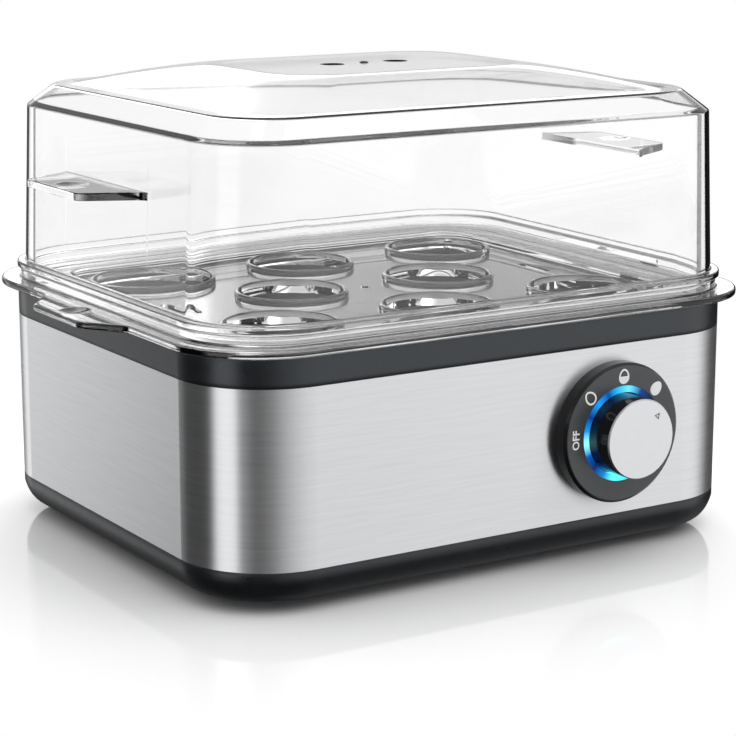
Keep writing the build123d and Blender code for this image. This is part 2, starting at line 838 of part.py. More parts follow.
PIECES = [
    base_plinth,
    rubber_feet,
    plinth_screws,
    steel_band,
    top_frame,
    bowl_gasket,
    heating_bowl,
    heat_plate,
    heater_element,
    bowl_strap,
    strap_screws,
    bowl_stud,
    stud_nut,
    thermostat,
    thermostat_screws,
    thermal_fuse,
    fuse_clip,
    control_bezel,
    light_ring,
    board_spacer,
    control_board,
    board_lamps,
    rotary_switch,
    switch_nut,
    buzzer,
    relay,
    wire_socket,
    knob_body,
    knob_cap,
    switch_shaft,
    cord_inlet,
    inlet_nut,
    terminal_block,
    terminal_screws,
    heater_wires,
    supply_wires,
    egg_tray,
    lid,
]

os.makedirs("parts", exist_ok=True)
for piece in PIECES:
    export_step(piece(), f"parts/{piece.__name__}.step")
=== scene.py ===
import json
import math

import bmesh
import bpy
import numpy as np
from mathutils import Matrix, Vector
from mathutils.geometry import delaunay_2d_cdt


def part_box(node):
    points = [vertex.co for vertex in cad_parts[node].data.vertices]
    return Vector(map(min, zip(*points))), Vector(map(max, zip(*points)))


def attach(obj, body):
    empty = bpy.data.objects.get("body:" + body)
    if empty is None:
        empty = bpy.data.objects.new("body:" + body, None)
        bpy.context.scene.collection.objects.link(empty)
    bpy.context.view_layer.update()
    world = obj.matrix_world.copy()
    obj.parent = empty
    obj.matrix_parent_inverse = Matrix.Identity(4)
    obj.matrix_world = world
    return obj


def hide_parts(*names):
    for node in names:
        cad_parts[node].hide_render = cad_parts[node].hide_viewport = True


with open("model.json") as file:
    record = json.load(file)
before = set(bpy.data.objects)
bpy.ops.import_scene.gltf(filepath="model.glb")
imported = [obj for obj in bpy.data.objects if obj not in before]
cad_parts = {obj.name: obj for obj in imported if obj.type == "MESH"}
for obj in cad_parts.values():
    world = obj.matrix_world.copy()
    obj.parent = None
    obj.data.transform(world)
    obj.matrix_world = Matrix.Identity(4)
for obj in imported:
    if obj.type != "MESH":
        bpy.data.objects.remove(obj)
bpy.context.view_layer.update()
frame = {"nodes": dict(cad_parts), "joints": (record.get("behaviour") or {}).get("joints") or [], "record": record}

# Electric egg cooker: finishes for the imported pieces, and finer clear mouldings, dial print and stage.
# Metres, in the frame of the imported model: floor at zero, +Z up, the dial faces -Y.
MM = 0.001

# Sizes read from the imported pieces
HALF_X, HALF_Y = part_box("steel_band")[1].xy
TRAY_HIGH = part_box("egg_tray")[1]
LID_LOW, LID_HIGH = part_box("lid")
BEZEL_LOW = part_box("control_bezel")[0]
CAP_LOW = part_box("knob_cap")[0]
DIAL = Vector(next(j["pos_m"] for j in frame["joints"] if j["name"] == "knob_turn"))

# Body plan and how finely it is drawn
CORNER_R = 25.5 * MM
LEAST_R = 3.0 * MM
CORNER_STEPS = 20
EDGE_STEPS = 5
SUPPORT_SHARE = 1.4
STRAIGHT_GAP = 0.8 * MM
MERGE = 0.002 * MM
SAME_PLACE = 1e-9
SLIVER = 1e-12
SHARP_DEG = 40

# Foot of the pan under the band: the upright part above it, its slope and the curve that rounds it
PLINTH_UPRIGHT_H = 3.0 * MM
PLINTH_INSET = 4.3 * MM
PLINTH_ROUND_H = 6.2 * MM
PLINTH_PULL_H = 1.3 * MM
PLINTH_PULL_IN = 1.3 * MM
PLINTH_ROWS = 16
PLINTH_CURVE_STEPS = 64
PLINTH_SLACK = 0.15 * MM

# Seat tray
TRAY_T = 2.0 * MM
FLANGE_OVER = 3.8 * MM
FLANGE_R = 26.7 * MM
RIM_INSET = 0.8 * MM
RIM_T = 2.0 * MM
SKIRT_INSET = 7.5 * MM
SKIRT_T = 1.5 * MM
SKIRT_H = 1.5 * MM
RECESS_INSET = 15.0 * MM
RECESS_WALL = 2.0 * MM
RECESS_DROP = 3.0 * MM
FLOOR_LAP = 2.0 * MM
RIM_H = 2.75 * MM
SEAT_R = 15.0 * MM
SEAT_LIP_T = 1.5 * MM
SEAT_LIP_H = 2.0 * MM
SEAT_LIP_BEVEL = 0.8 * MM
SEAT_EDGE = 1.5 * MM
SEATS_PER_ROW = 3
DRAIN_R = 1.5 * MM
DRAIN_EDGE = 1.2 * MM
SLOT_W = 3.0 * MM
SLOT_L = 14.0 * MM
SLOT_EDGE = 8.0 * MM
TRAY_TAB_TIP = 29.2 * MM
TRAY_TAB_ROOT = 52.0 * MM
TRAY_CUTS = np.array([0.6, 0.7, 0.5, 0.4, 0.4, 0.5, 0.7, 0.7, 0.3, 0.3, 0.3, 0.3, 0.5, 0.7]) * MM
TRAY_SIDE_X = np.linspace(-30, 30, 7) * MM
FLANGE_ROWS = 24
SEAT_POINTS = 64
DRAIN_POINTS = 24
SLOT_POINTS = 32

# Finger tabs of the tray and lid
TAB_EASE = 1.5 * MM
TAB_EASE_SAMPLES = 15
TAB_EDGE = 0.4 * MM
TAB_EDGE_STEPS = 5
TAB_CORNER_R = 4.0 * MM
TAB_ROWS = 34
TAB_Y = np.arange(-30, 30.1, 0.5) * MM
DIMPLE_R = 4.5 * MM
DIMPLE_DEEP = 0.6 * MM

# Lid
LID_T = 2.0 * MM
LID_FLANGE_T = 2.0 * MM
LID_SKIRT_H = 1.8 * MM
LID_SKIRT_INSET = 3.3 * MM
LID_INNER_INSET = 4.85 * MM
LID_FOOT_INSET = 2.4 * MM
LID_WALL_H = 44.9 * MM
SHOULDER_INSET = 4.2 * MM
SLOPE_RUN = 6.6 * MM
SLOPE_H = 5.9 * MM
LID_TOP_R = 18.0 * MM
LID_TOP_T = 0.9 * MM
DOME_BASE = (68.0 * MM, 58.0 * MM, 15.0 * MM)
DOME_TOP = (39.0 * MM, 28.0 * MM, 16.0 * MM)
DOME_H = 6.25 * MM
DOME_SWELL = 1.4
DOME_SOFT_SHARE = 0.06
DOME_PLATE_DRAW = 4.0 * MM
PIP_R = 1.3 * MM
PIP_H = 0.5 * MM
VENT_R = 3.5 * MM
VENT_PITCH = 21.0 * MM
LID_TAB_UP = 29.2 * MM
LID_TAB_T = 2.1 * MM
LID_TAB_TIP = 32.0 * MM
LID_TAB_ROOT = 47.0 * MM
LID_CUTS = np.array([2.5, 2.5, 0.6, 0.45, 0.5, 0.6, 0.6, 0.2, 0.4, 0.4, 0.3, 0.4, 0.4, 2.5, 2.5]) * MM
LID_SIDE_X = np.linspace(-24, 24, 13) * MM
DOME_ROWS = 10
VENT_POINTS = 40
PIP_POINTS = 24
PIP_PROFILE = np.array([(1, 0), (0.92, 0.5), (0.6, 0.9), (0, 1)])

# Corner numbers: the tray's profile runs from its floor outwards, the lid's from its dome down and back up
TRAY_RIM_FOOT = 5
LID_DOME, LID_CROWN, LID_SHOULDER, LID_INNER_DOME = 0, 2, 3, 13

# How dark the painted shade along the clear mouldings' edges is, and over what lengths that fades
LID_EDGE_SHADES = ((LID_DOME, 0.15), (LID_CROWN, 0.10), (LID_SHOULDER, 0.60))
FLANGE_EDGE_SHADE = 0.85
FLANGE_SHADE_RUN = 10.0 * MM
TAB_EDGE_SHADE = 0.97
TAB_SHADE_RISE = 1.2 * MM
TAB_SHADE_FALL = 7.0 * MM
TAB_SHADE_LEFT = 0.5
TAB_SHADE_CLEAR = 0.2 * MM

# Printed dial marks
MARK_R = 15.9 * MM
MARK_T = 0.04 * MM
EGG_W = 3.5 * MM
EGG_H = 4.2 * MM
EGG_LINE = 0.5 * MM
EGG_TAPER = 0.13
EGG_POINTS = 48
OFF_H = 2.3 * MM
OFF_WEIGHT = 0.02
OFF_CURVE_STEPS = 6
MARK_DEG = {"dial_mark_soft": 135, "dial_mark_medium": 90, "dial_mark_hard": 45}
OFF_DEG = 179.5
POINTER_DEG = 47
POINTER_R = 8.0 * MM
POINTER_SIZE = 1.9 * MM
POINTER_LINE = 0.28 * MM

# Camera, fitted to the photograph's edges
CAMERA_AT = (-343.02 * MM, -548.53 * MM, 188.42 * MM)
CAMERA_PITCH_DEG = 90 - 12.6255
CAMERA_TURN_DEG = -32.1227
CAMERA_LENS = 111.265
CAMERA_SENSOR = 36.0

# Floor: half its side, where it fades to white, how far its shade reaches and how far it is lit up
FLOOR_HALF = 12.0
FLOOR_FADE = (0.012, 0.085)
FLOOR_SHADE_REACH = 0.12
FLOOR_LIFT = 0.42


def plan_row(inset, z, radius=CORNER_R):
    """One station along the body plan: both half sides and the corner radius drawn in by an inset."""
    return (HALF_X - inset, HALF_Y - inset, max(radius - inset, LEAST_R), z)


def eased(rows, cuts):
    """Rounds each inner corner of a row profile.

    Between a point one cut before the corner and a point one cut after it runs the quadratic curve that
    has the corner as its control point. A support point just outside each end keeps the flats flat.
    """
    rows = np.asarray(rows, float)
    cuts = cuts[:, None]
    corner = rows[1:-1]
    before = rows[:-2] - corner
    after = rows[2:] - corner
    before = before / np.linalg.norm(before[:, (0, 3)], axis=1)[:, None] * cuts
    after = after / np.linalg.norm(after[:, (0, 3)], axis=1)[:, None] * cuts
    t = np.linspace(0, 1, EDGE_STEPS + 1)[None, :, None]
    curve = corner[:, None] + before[:, None] * (1 - t) ** 2 + after[:, None] * t**2
    first = (corner + before * SUPPORT_SHARE)[:, None]
    last = (corner + after * SUPPORT_SHARE)[:, None]
    inner = np.concatenate([first, curve, last], axis=1).reshape(-1, rows.shape[1])
    return np.concatenate([rows[:1], inner, rows[-1:]])


def plan_loops(rows, side_x, side_y, reach):
    """Closed loops, one for each row of (half x, half y, corner radius, z).

    A loop is four corner arcs about the corner centres, joined by straight sides. The sides carry points at
    the fixed places side_x and side_y and one near each arc. reach moves the points of both x sides outwards.
    """
    half_x, half_y, radius, z = (rows[:, k : k + 1] for k in range(4))
    turn = np.linspace(0, math.pi / 2, CORNER_STEPS + 1)[None, :]
    end_x = half_x - radius - STRAIGHT_GAP
    end_y = half_y - radius - STRAIGHT_GAP
    ones = np.ones_like(half_x)
    along_x = np.concatenate([-end_x, np.clip(ones * side_x[None, :], -end_x, end_x), end_x], axis=1)
    along_y = np.concatenate([-end_y, np.clip(ones * side_y[None, :], -end_y, end_y), end_y], axis=1)
    out = np.zeros_like(along_y)
    out[:, 1:-1] = reach
    xs = []
    ys = []
    for quarter, (sx, sy) in enumerate(((1, 1), (-1, 1), (-1, -1), (1, -1))):
        if quarter % 2 == 0:
            xs.append(sx * (half_x + out))
            ys.append(sx * along_y)
        else:
            xs.append(-sy * along_x)
            ys.append(sy * half_y * np.ones_like(along_x))
        angle = turn + quarter * math.pi / 2
        xs.append(sx * (half_x - radius) + radius * np.cos(angle))
        ys.append(sy * (half_y - radius) + radius * np.sin(angle))
    x = np.concatenate(xs, axis=1)
    y = np.concatenate(ys, axis=1)
    return np.stack([x, y, z * np.ones_like(x)], axis=-1)


def grid_faces(rows, columns):
    """Quads of a grid of points, closed round the columns and open along the rows."""
    index = np.arange(rows * columns).reshape(rows, columns)
    beside = np.roll(index, -1, axis=1)
    quads = np.stack([index[:-1], beside[:-1], beside[1:], index[1:]], axis=-1)
    return quads.reshape(-1, 4).tolist()


def skin(loops):
    """Patch (points, faces) through a stack of loops."""
    return loops.reshape(-1, 3), grid_faces(*loops.shape[:2])


def ring_points(radius, count):
    """Points evenly round a circle."""
    angle = np.linspace(0, 2 * math.pi, count, endpoint=False)
    return np.stack([radius * np.cos(angle), radius * np.sin(angle)], axis=-1)


def slot_points(length, width, count):
    """A slot along Y: two half circles of half the width about the ends of its middle line."""
    ring = ring_points(width / 2, count)
    return ring + np.stack([np.zeros(count), np.sign(ring[:, 1]) * (length - width) / 2], axis=-1)


def turned(profile, centre, count):
    """A profile of (radius, z) turned about a vertical axis at a centre."""
    profile = np.asarray(profile, float)
    circle = ring_points(1.0, count)
    flat = profile[:, 0, None, None] * circle[None] + np.asarray(centre)[None, None]
    height = np.broadcast_to(profile[:, 1, None, None], flat.shape[:2] + (1,))
    return np.concatenate([flat, height], axis=-1)


def stacked(outline, levels):
    """The same flat outline repeated at several levels."""
    rows = [np.concatenate([outline, np.full((len(outline), 1), z)], axis=1) for z in levels]
    return np.stack(rows)


def inside(points, outline):
    """Which points lie inside a convex outline that runs anticlockwise."""
    edge = np.roll(outline, -1, axis=0) - outline
    away = points[:, None] - outline[None]
    return (edge[None, :, 0] * away[..., 1] - edge[None, :, 1] * away[..., 0] > -SLIVER).all(axis=1)


def holed_plate(outline, holes, z):
    """Flat plate inside an outline and outside its holes, cut into triangles between their points."""
    rims = [outline, *holes]
    points = np.concatenate(rims)
    edges = []
    start = 0
    for rim in rims:
        index = start + np.arange(len(rim))
        edges += np.stack([index, np.roll(index, -1)], axis=1).tolist()
        start += len(rim)
    flat, _, faces, *_ = delaunay_2d_cdt([Vector(p) for p in points], edges, [], 0, SAME_PLACE)
    flat = np.array([tuple(p) for p in flat])
    faces = np.array(faces)
    middle = flat[faces].mean(axis=1)
    keep = inside(middle, outline)
    for hole in holes:
        keep &= ~inside(middle, hole)
    points = np.concatenate([flat, np.full((len(flat), 1), z)], axis=1)
    return points, faces[keep].tolist()


def add_piece(name, patches, material, body, slot, *nodes):
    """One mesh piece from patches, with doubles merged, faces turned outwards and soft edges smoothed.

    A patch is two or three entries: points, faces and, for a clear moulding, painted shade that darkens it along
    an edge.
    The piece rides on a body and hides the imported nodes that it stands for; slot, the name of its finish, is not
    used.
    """
    points = []
    faces = []
    edge_shades = []
    start = 0
    for patch_points, patch_faces, *edge_shade in patches:
        points.append(patch_points)
        edge_shades.append(edge_shade[0] if edge_shade else np.zeros(len(patch_points)))
        faces += [[start + k for k in face] for face in patch_faces]
        start += len(patch_points)
    mesh = bpy.data.meshes.new(name)
    mesh.from_pydata(np.concatenate(points).tolist(), [], faces)
    # Painted shade of the clear mouldings, kept on the points
    mesh.attributes.new("painted_edge_shade", "FLOAT", "POINT").data.foreach_set("value", np.concatenate(edge_shades))
    shape = bmesh.new()
    shape.from_mesh(mesh)
    bmesh.ops.remove_doubles(shape, verts=shape.verts, dist=MERGE)
    bmesh.ops.recalc_face_normals(shape, faces=shape.faces)
    shape.to_mesh(mesh)
    shape.free()
    mesh.polygons.foreach_set("use_smooth", np.ones(len(mesh.polygons), bool))
    mesh.set_sharp_from_angle(angle=math.radians(SHARP_DEG))
    mesh.materials.append(material)
    piece = bpy.data.objects.new(name, mesh)
    bpy.context.scene.collection.objects.link(piece)
    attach(piece, body)
    if nodes:
        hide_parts(*nodes)


def mesh_points(mesh):
    """All points of a mesh as one array."""
    points = np.empty(len(mesh.vertices) * 3)
    mesh.vertices.foreach_get("co", points)
    return points.reshape(-1, 3)


# Material building

# The middle part of the grain's mask, and how deep its bump is
GRAIN_MIDDLE = (0.3, 0.7)
GRAIN_DEEP = 0.1 * MM


def new_material(name):
    """An empty node material with an output, returned as (material, nodes, links, output)."""
    material = bpy.data.materials.new(name)
    material.use_nodes = True
    nodes = material.node_tree.nodes
    nodes.clear()
    return material, nodes, material.node_tree.links, nodes.new("ShaderNodeOutputMaterial")


def set_inputs(node, values):
    """Sets constant sockets by name."""
    for name, value in values.items():
        node.inputs[name].default_value = value


def grain_group():
    """Moulded or cast grain: two sizes of noise give a mask about one half, also used as bump height."""
    group = bpy.data.node_groups.new("surface_grain", "ShaderNodeTree")
    for name in ("Scale", "Fine Scale"):
        group.interface.new_socket(name, in_out="INPUT", socket_type="NodeSocketFloat")
    group.interface.new_socket("Stretch", in_out="INPUT", socket_type="NodeSocketVector")
    group.interface.new_socket("Mask", in_out="OUTPUT", socket_type="NodeSocketFloat")
    nodes = group.nodes
    links = group.links
    source = nodes.new("NodeGroupInput")
    sink = nodes.new("NodeGroupOutput")
    place = nodes.new("ShaderNodeTexCoord")
    stretch = nodes.new("ShaderNodeVectorMath")
    stretch.operation = "MULTIPLY"
    links.new(place.outputs["Object"], stretch.inputs[0])
    links.new(source.outputs["Stretch"], stretch.inputs[1])
    total = nodes.new("ShaderNodeMix")
    total.inputs["Factor"].default_value = 0.5
    for socket, target in (("Scale", "A"), ("Fine Scale", "B")):
        noise = nodes.new("ShaderNodeTexNoise")
        noise.inputs["Detail"].default_value = 3.0
        links.new(stretch.outputs[0], noise.inputs["Vector"])
        links.new(source.outputs[socket], noise.inputs["Scale"])
        links.new(noise.outputs["Fac"], total.inputs[target])
    links.new(total.outputs["Result"], sink.inputs["Mask"])
    return group


GRAIN = grain_group()


def mapped(nodes, links, mask, low, high):
    """A value that runs from low to high as the grain's mask runs over its middle part."""
    spread = nodes.new("ShaderNodeMapRange")
    start, end = GRAIN_MIDDLE
    set_inputs(spread, {"From Min": start, "From Max": end, "To Min": low, "To Max": high})
    links.new(mask, spread.inputs["Value"])
    return spread.outputs["Result"]


def grained(name, dark, light, rough, scale=400.0, fine=2500.0, stretch=(1, 1, 1), bump=0.05, **sockets):
    """A finish whose colour, roughness and bump follow the surface grain; sockets are shader constants."""
    material, nodes, links, output = new_material(name)
    shader = nodes.new("ShaderNodeBsdfPrincipled")
    for socket, value in sockets.items():
        shader.inputs[socket.replace("_", " ").title().replace("Ior", "IOR")].default_value = value
    grain = nodes.new("ShaderNodeGroup")
    grain.node_tree = GRAIN
    set_inputs(grain, {"Scale": scale, "Fine Scale": fine, "Stretch": stretch})
    tint = nodes.new("ShaderNodeMix")
    tint.data_type = "RGBA"
    tint.inputs["A"].default_value = (*dark, 1)
    tint.inputs["B"].default_value = (*light, 1)
    links.new(mapped(nodes, links, grain.outputs["Mask"], 0, 1), tint.inputs["Factor"])
    links.new(tint.outputs["Result"], shader.inputs["Base Color"])
    links.new(mapped(nodes, links, grain.outputs["Mask"], *rough), shader.inputs["Roughness"])
    relief = nodes.new("ShaderNodeBump")
    set_inputs(relief, {"Strength": bump, "Distance": GRAIN_DEEP})
    links.new(grain.outputs["Mask"], relief.inputs["Height"])
    links.new(relief.outputs["Normal"], shader.inputs["Normal"])
    links.new(shader.outputs["BSDF"], output.inputs["Surface"])
    return material


def ranged(nodes, links, value, start, end, low, high):
    """A value carried smoothly from low to high as another runs from start to end."""
    spread = nodes.new("ShaderNodeMapRange")
    spread.interpolation_type = "SMOOTHSTEP"
    set_inputs(spread, {"From Min": start, "From Max": end, "To Min": low, "To Max": high})
    links.new(value, spread.inputs["Value"])
    return spread.outputs["Result"]


def combined(nodes, links, operation, first, second):
    """A maths node of two linked values."""
    node = nodes.new("ShaderNodeMath")
    node.operation = operation
    links.new(first, node.inputs[0])
    links.new(second, node.inputs[1])
    return node.outputs[0]


def axes(nodes, links, vector):
    """The three parts of a vector, by axis name."""
    split = nodes.new("ShaderNodeSeparateXYZ")
    links.new(vector, split.inputs[0])
    return split.outputs


def overlaid(nodes, links, socket, share, value):
    """Mixes a constant, by a share, over what feeds a shader's socket."""
    mix = nodes.new("ShaderNodeMix")
    mix.data_type = "RGBA" if socket.type == "RGBA" else "FLOAT"
    links.new(share, mix.inputs["Factor"])
    links.new(socket.links[0].from_socket, mix.inputs["A"])
    mix.inputs["B"].default_value = value
    links.new(mix.outputs["Result"], socket)


# Clear plastic's painted shade: where a face is part of a rounded corner, and where it is seen so flat that it
# mirrors
CORNER_TURN = (0.004, 0.04)
MIRROR_FACING = (0.635, 0.67)


def clear_moulding():
    """Clear plastic: glass-like, open to the lamps' light, with painted shade along its edges and where a rounded
    corner is seen so flat that its inner face mirrors."""
    material, nodes, links, output = new_material("clear_moulding")
    shader = nodes.new("ShaderNodeBsdfPrincipled")
    set_inputs(shader, {"Roughness": 0.01, "IOR": 1.49, "Transmission Weight": 1.0})
    # Painted shade where a rounded corner is seen so flat that its inner face mirrors
    edge = nodes.new("ShaderNodeLayerWeight")
    edge.inputs["Blend"].default_value = 0.5
    shape = nodes.new("ShaderNodeNewGeometry")
    normal = axes(nodes, links, shape.outputs["True Normal"])
    turn = combined(nodes, links, "MULTIPLY", normal["X"], normal["Y"])
    turn = combined(nodes, links, "MULTIPLY", turn, turn)
    corner = ranged(nodes, links, turn, *CORNER_TURN, 0.0, 1.0)
    flat = ranged(nodes, links, edge.outputs["Facing"], *MIRROR_FACING, 0.0, 1.0)
    dark = combined(nodes, links, "MULTIPLY", corner, flat)
    # Painted shade along the clear mouldings' edges, read from the points
    line = nodes.new("ShaderNodeAttribute")
    line.attribute_name = "painted_edge_shade"
    dark = combined(nodes, links, "MAXIMUM", dark, line.outputs["Fac"])
    clear = nodes.new("ShaderNodeMath")
    clear.operation = "SUBTRACT"
    clear.inputs[0].default_value = 1.0
    links.new(dark, clear.inputs[1])
    clear = clear.outputs[0]
    links.new(combined(nodes, links, "MULTIPLY", clear, clear), shader.inputs["Base Color"])
    path = nodes.new("ShaderNodeLightPath")
    through = nodes.new("ShaderNodeBsdfTransparent")
    through.inputs["Color"].default_value = (0.9, 0.9, 0.9, 1)
    mix = nodes.new("ShaderNodeMixShader")
    links.new(path.outputs["Is Shadow Ray"], mix.inputs["Fac"])
    links.new(shader.outputs["BSDF"], mix.inputs[1])
    links.new(through.outputs["BSDF"], mix.inputs[2])
    links.new(mix.outputs["Shader"], output.inputs["Surface"])
    return material


CLEAR = clear_moulding()

# Seat tray and lid


def tab_reach(y, root, tip, reach):
    """How far a finger tab stands out at each y: a trapezium, averaged over a short window to round it."""
    window = np.linspace(-TAB_EASE, TAB_EASE, TAB_EASE_SAMPLES)
    away = np.abs(y[:, None] + window[None, :])
    return reach * np.clip((root / 2 - away) / (root / 2 - tip / 2), 0, 1).mean(axis=1)


def run_start(corner):
    """Row number, in an eased profile, that ends the straight run after one of its corners. Each corner
    before it takes the points of its curve and two support points."""
    return 1 + (corner + 1) * (EDGE_STEPS + 3)


def with_run(rows, corner, count):
    """Adds evenly spaced rows to the straight run after a corner, and tells where they start."""
    at = run_start(corner)
    step = np.linspace(0, 1, count + 2)[1:-1, None]
    run = rows[at - 1] * (1 - step) + rows[at] * step
    return np.concatenate([rows[:at], run, rows[at:]]), at


def thumb_dish(points, tip):
    """Depth of a round thumb dish near a tab's tip: full at its centre, less by the square of the radius."""
    centre = tip - TAB_CORNER_R - DIMPLE_R / 2
    away = np.hypot(np.abs(points[..., 0]) - centre, points[..., 1]) / DIMPLE_R
    return DIMPLE_DEEP * np.clip(1 - away**2, 0, None)


def end_share(points):
    """Share that rises from none to one over the last stretch before the body's left and right ends."""
    return np.clip((np.abs(points[..., 0]) - HALF_X) / FLANGE_SHADE_RUN + 1, 0, 1)


def seat_places():
    """Staggered rows of seats, the middle row one seat shorter."""
    edge = RECESS_INSET + RECESS_WALL + SEAT_EDGE + SEAT_LIP_T + SEAT_R
    pitch = 2 * (HALF_X - edge) / (SEATS_PER_ROW - 1)
    places = []
    for row in (-1, 0, 1):
        count = SEATS_PER_ROW if row else SEATS_PER_ROW - 1
        places += [((k - (count - 1) / 2) * pitch, row * (HALF_Y - edge)) for k in range(count)]
    return places


def egg_tray():
    """Clear tray. A profile carried round the plan makes the flange with its tabs, the rim, the skirt and
    the recess wall. Flat plates with round holes close the floor, and turned profiles make the seats."""
    top = TRAY_HIGH.z - RIM_H
    low = top - TRAY_T
    floor = top - RECESS_DROP
    under = floor - TRAY_T
    recess = RECESS_INSET + RECESS_WALL
    rim_in = RIM_INSET + RIM_T
    flange = (HALF_X + FLANGE_OVER, HALF_Y + FLANGE_OVER, FLANGE_R)
    rows = [plan_row(recess + FLOOR_LAP, floor), plan_row(recess, floor), plan_row(recess, top)]
    rows += [plan_row(rim_in, top), plan_row(rim_in, TRAY_HIGH.z), plan_row(RIM_INSET, TRAY_HIGH.z)]
    rows += [plan_row(RIM_INSET, top), (*flange, top), (*flange, low), plan_row(SKIRT_INSET, low)]
    rows += [plan_row(SKIRT_INSET, low - SKIRT_H), plan_row(SKIRT_INSET + SKIRT_T, low - SKIRT_H)]
    rows += [plan_row(SKIRT_INSET + SKIRT_T, low), plan_row(RECESS_INSET, low), plan_row(RECESS_INSET, under)]
    rows += [plan_row(recess, under)]
    rows, at = with_run(eased(rows, TRAY_CUTS), TRAY_RIM_FOOT, FLANGE_ROWS)
    share = np.clip((rows[:, 0] - (HALF_X - RIM_INSET)) / (FLANGE_OVER + RIM_INSET), 0, 1)
    reach = tab_reach(TAB_Y, TRAY_TAB_ROOT, TRAY_TAB_TIP, TRAY_HIGH.x - HALF_X - FLANGE_OVER)
    loops = plan_loops(rows, TRAY_SIDE_X, TAB_Y, share[:, None] * reach[None, :])
    upper = loops[at - 1 : at + FLANGE_ROWS + 1]
    upper[..., 2] -= thumb_dish(upper, TRAY_HIGH.x)
    # Painted shade along the flange's lower edge, towards the left and right ends
    edge = (np.abs(rows[:, 3] - low) < TAB_EDGE) & (rows[:, 0] > flange[0] - TAB_EDGE)
    patches = [(*skin(loops), (FLANGE_EDGE_SHADE * edge[:, None] * end_share(loops)).ravel())]
    wide_holes = []
    narrow_holes = []
    lip = SEAT_R + SEAT_LIP_T
    crest = floor + SEAT_LIP_H
    bevel = SEAT_LIP_BEVEL
    for x, y in seat_places():
        profile = [(lip, floor), (lip, crest - bevel), (lip - bevel / 3, crest - bevel / 3)]
        profile += [(lip - bevel, crest), (SEAT_R + bevel / 3, crest), (SEAT_R, crest - bevel / 3)]
        profile += [(SEAT_R, under)]
        rings = turned(profile, (x, y), SEAT_POINTS)
        patches.append(skin(rings))
        wide_holes.append(rings[0, :, :2])
        narrow_holes.append(rings[-1, :, :2])
    corner = CORNER_R - recess
    shift = (corner - DRAIN_R - DRAIN_EDGE) * math.sqrt(0.5)
    drain_x = HALF_X - recess - corner + shift
    drain_y = HALF_Y - recess - corner + shift
    drains = [(i * drain_x, j * drain_y) for i in (-1, 1) for j in (-1, 1)] + [(0.0, 0.0)]
    outlines = [ring_points(DRAIN_R, DRAIN_POINTS) + np.array(place) for place in drains]
    slot_x = HALF_X - recess - SLOT_EDGE
    slot = slot_points(SLOT_L, SLOT_W, SLOT_POINTS)
    outlines += [slot + np.array((i * slot_x, 0.0)) for i in (-1, 1)]
    patches += [skin(stacked(outline, (floor, under))) for outline in outlines]
    patches.append(holed_plate(loops[0, :, :2], wide_holes + outlines, floor))
    patches.append(holed_plate(loops[-1, :, :2], narrow_holes + outlines, under))
    add_piece("clear_tray", patches, CLEAR, "tray", "clear_plastic", "egg_tray")


def dome_height(half_x, level):
    """Height of the dome over its level. It swells: its share of the rise is one less a power of what is
    left of the way in, and the way starts softly at the dome's base."""
    way = (DOME_BASE[0] - half_x) / (DOME_BASE[0] - DOME_TOP[0])
    soft = np.clip((way + np.hypot(way, DOME_SOFT_SHARE)) / 2, 0, 1)
    return level + DOME_H * (1 - (1 - soft) ** DOME_SWELL)


def lid_profile(base, wall, shoulder, crown, dome):
    """Rows of the lid from the dome's top plate down the outside to the skirt and up the inside, with a
    fifth column of painted shade that darkens the dome's edge, the crown and the shoulder."""
    rise = SLOPE_H / SLOPE_RUN
    lean = math.hypot(1, rise) * LID_TOP_T
    crown_inset = SHOULDER_INSET + SLOPE_RUN
    inner = LID_INNER_INSET
    plate = tuple(size - DOME_PLATE_DRAW for size in DOME_TOP)
    rows = [(*plate, dome), (*DOME_TOP, dome), (*DOME_BASE, crown)]
    rows += [plan_row(crown_inset, crown, LID_TOP_R + crown_inset), plan_row(SHOULDER_INSET, shoulder)]
    rows += [plan_row(LID_FOOT_INSET, wall), plan_row(0, wall), plan_row(0, base)]
    rows += [plan_row(LID_SKIRT_INSET, base), plan_row(LID_SKIRT_INSET, LID_LOW.z)]
    rows += [plan_row(inner, LID_LOW.z), plan_row(inner, wall)]
    rows += [plan_row(SHOULDER_INSET + LID_T, shoulder + rise * LID_T - lean)]
    inner_crown = crown_inset + (lean - LID_TOP_T) / rise
    rows += [plan_row(inner_crown, crown - LID_TOP_T, LID_TOP_R + crown_inset)]
    rows += [(*DOME_BASE, crown - LID_TOP_T), (*DOME_TOP, dome - LID_TOP_T), (*plate, dome - LID_TOP_T)]
    rows = eased(rows, LID_CUTS)
    # Painted shade over the dome's edge, the crown and the shoulder
    edge_shade = np.zeros(len(rows))
    swell = np.sin(np.linspace(0, math.pi, EDGE_STEPS + 1))
    for corner, dark in LID_EDGE_SHADES:
        first = run_start(corner - 1) + 1
        edge_shade[first : first + EDGE_STEPS + 1] = dark * swell
    rows = np.column_stack([rows, edge_shade])
    rows, _ = with_run(rows, LID_INNER_DOME, DOME_ROWS)
    level = np.where(np.arange(len(rows)) < len(rows) / 2, crown, crown - LID_TOP_T)
    on_dome = rows[:, 0] < DOME_BASE[0] + DOME_PLATE_DRAW
    rows[on_dome, 3] = dome_height(rows[on_dome, 0], level[on_dome])
    return rows


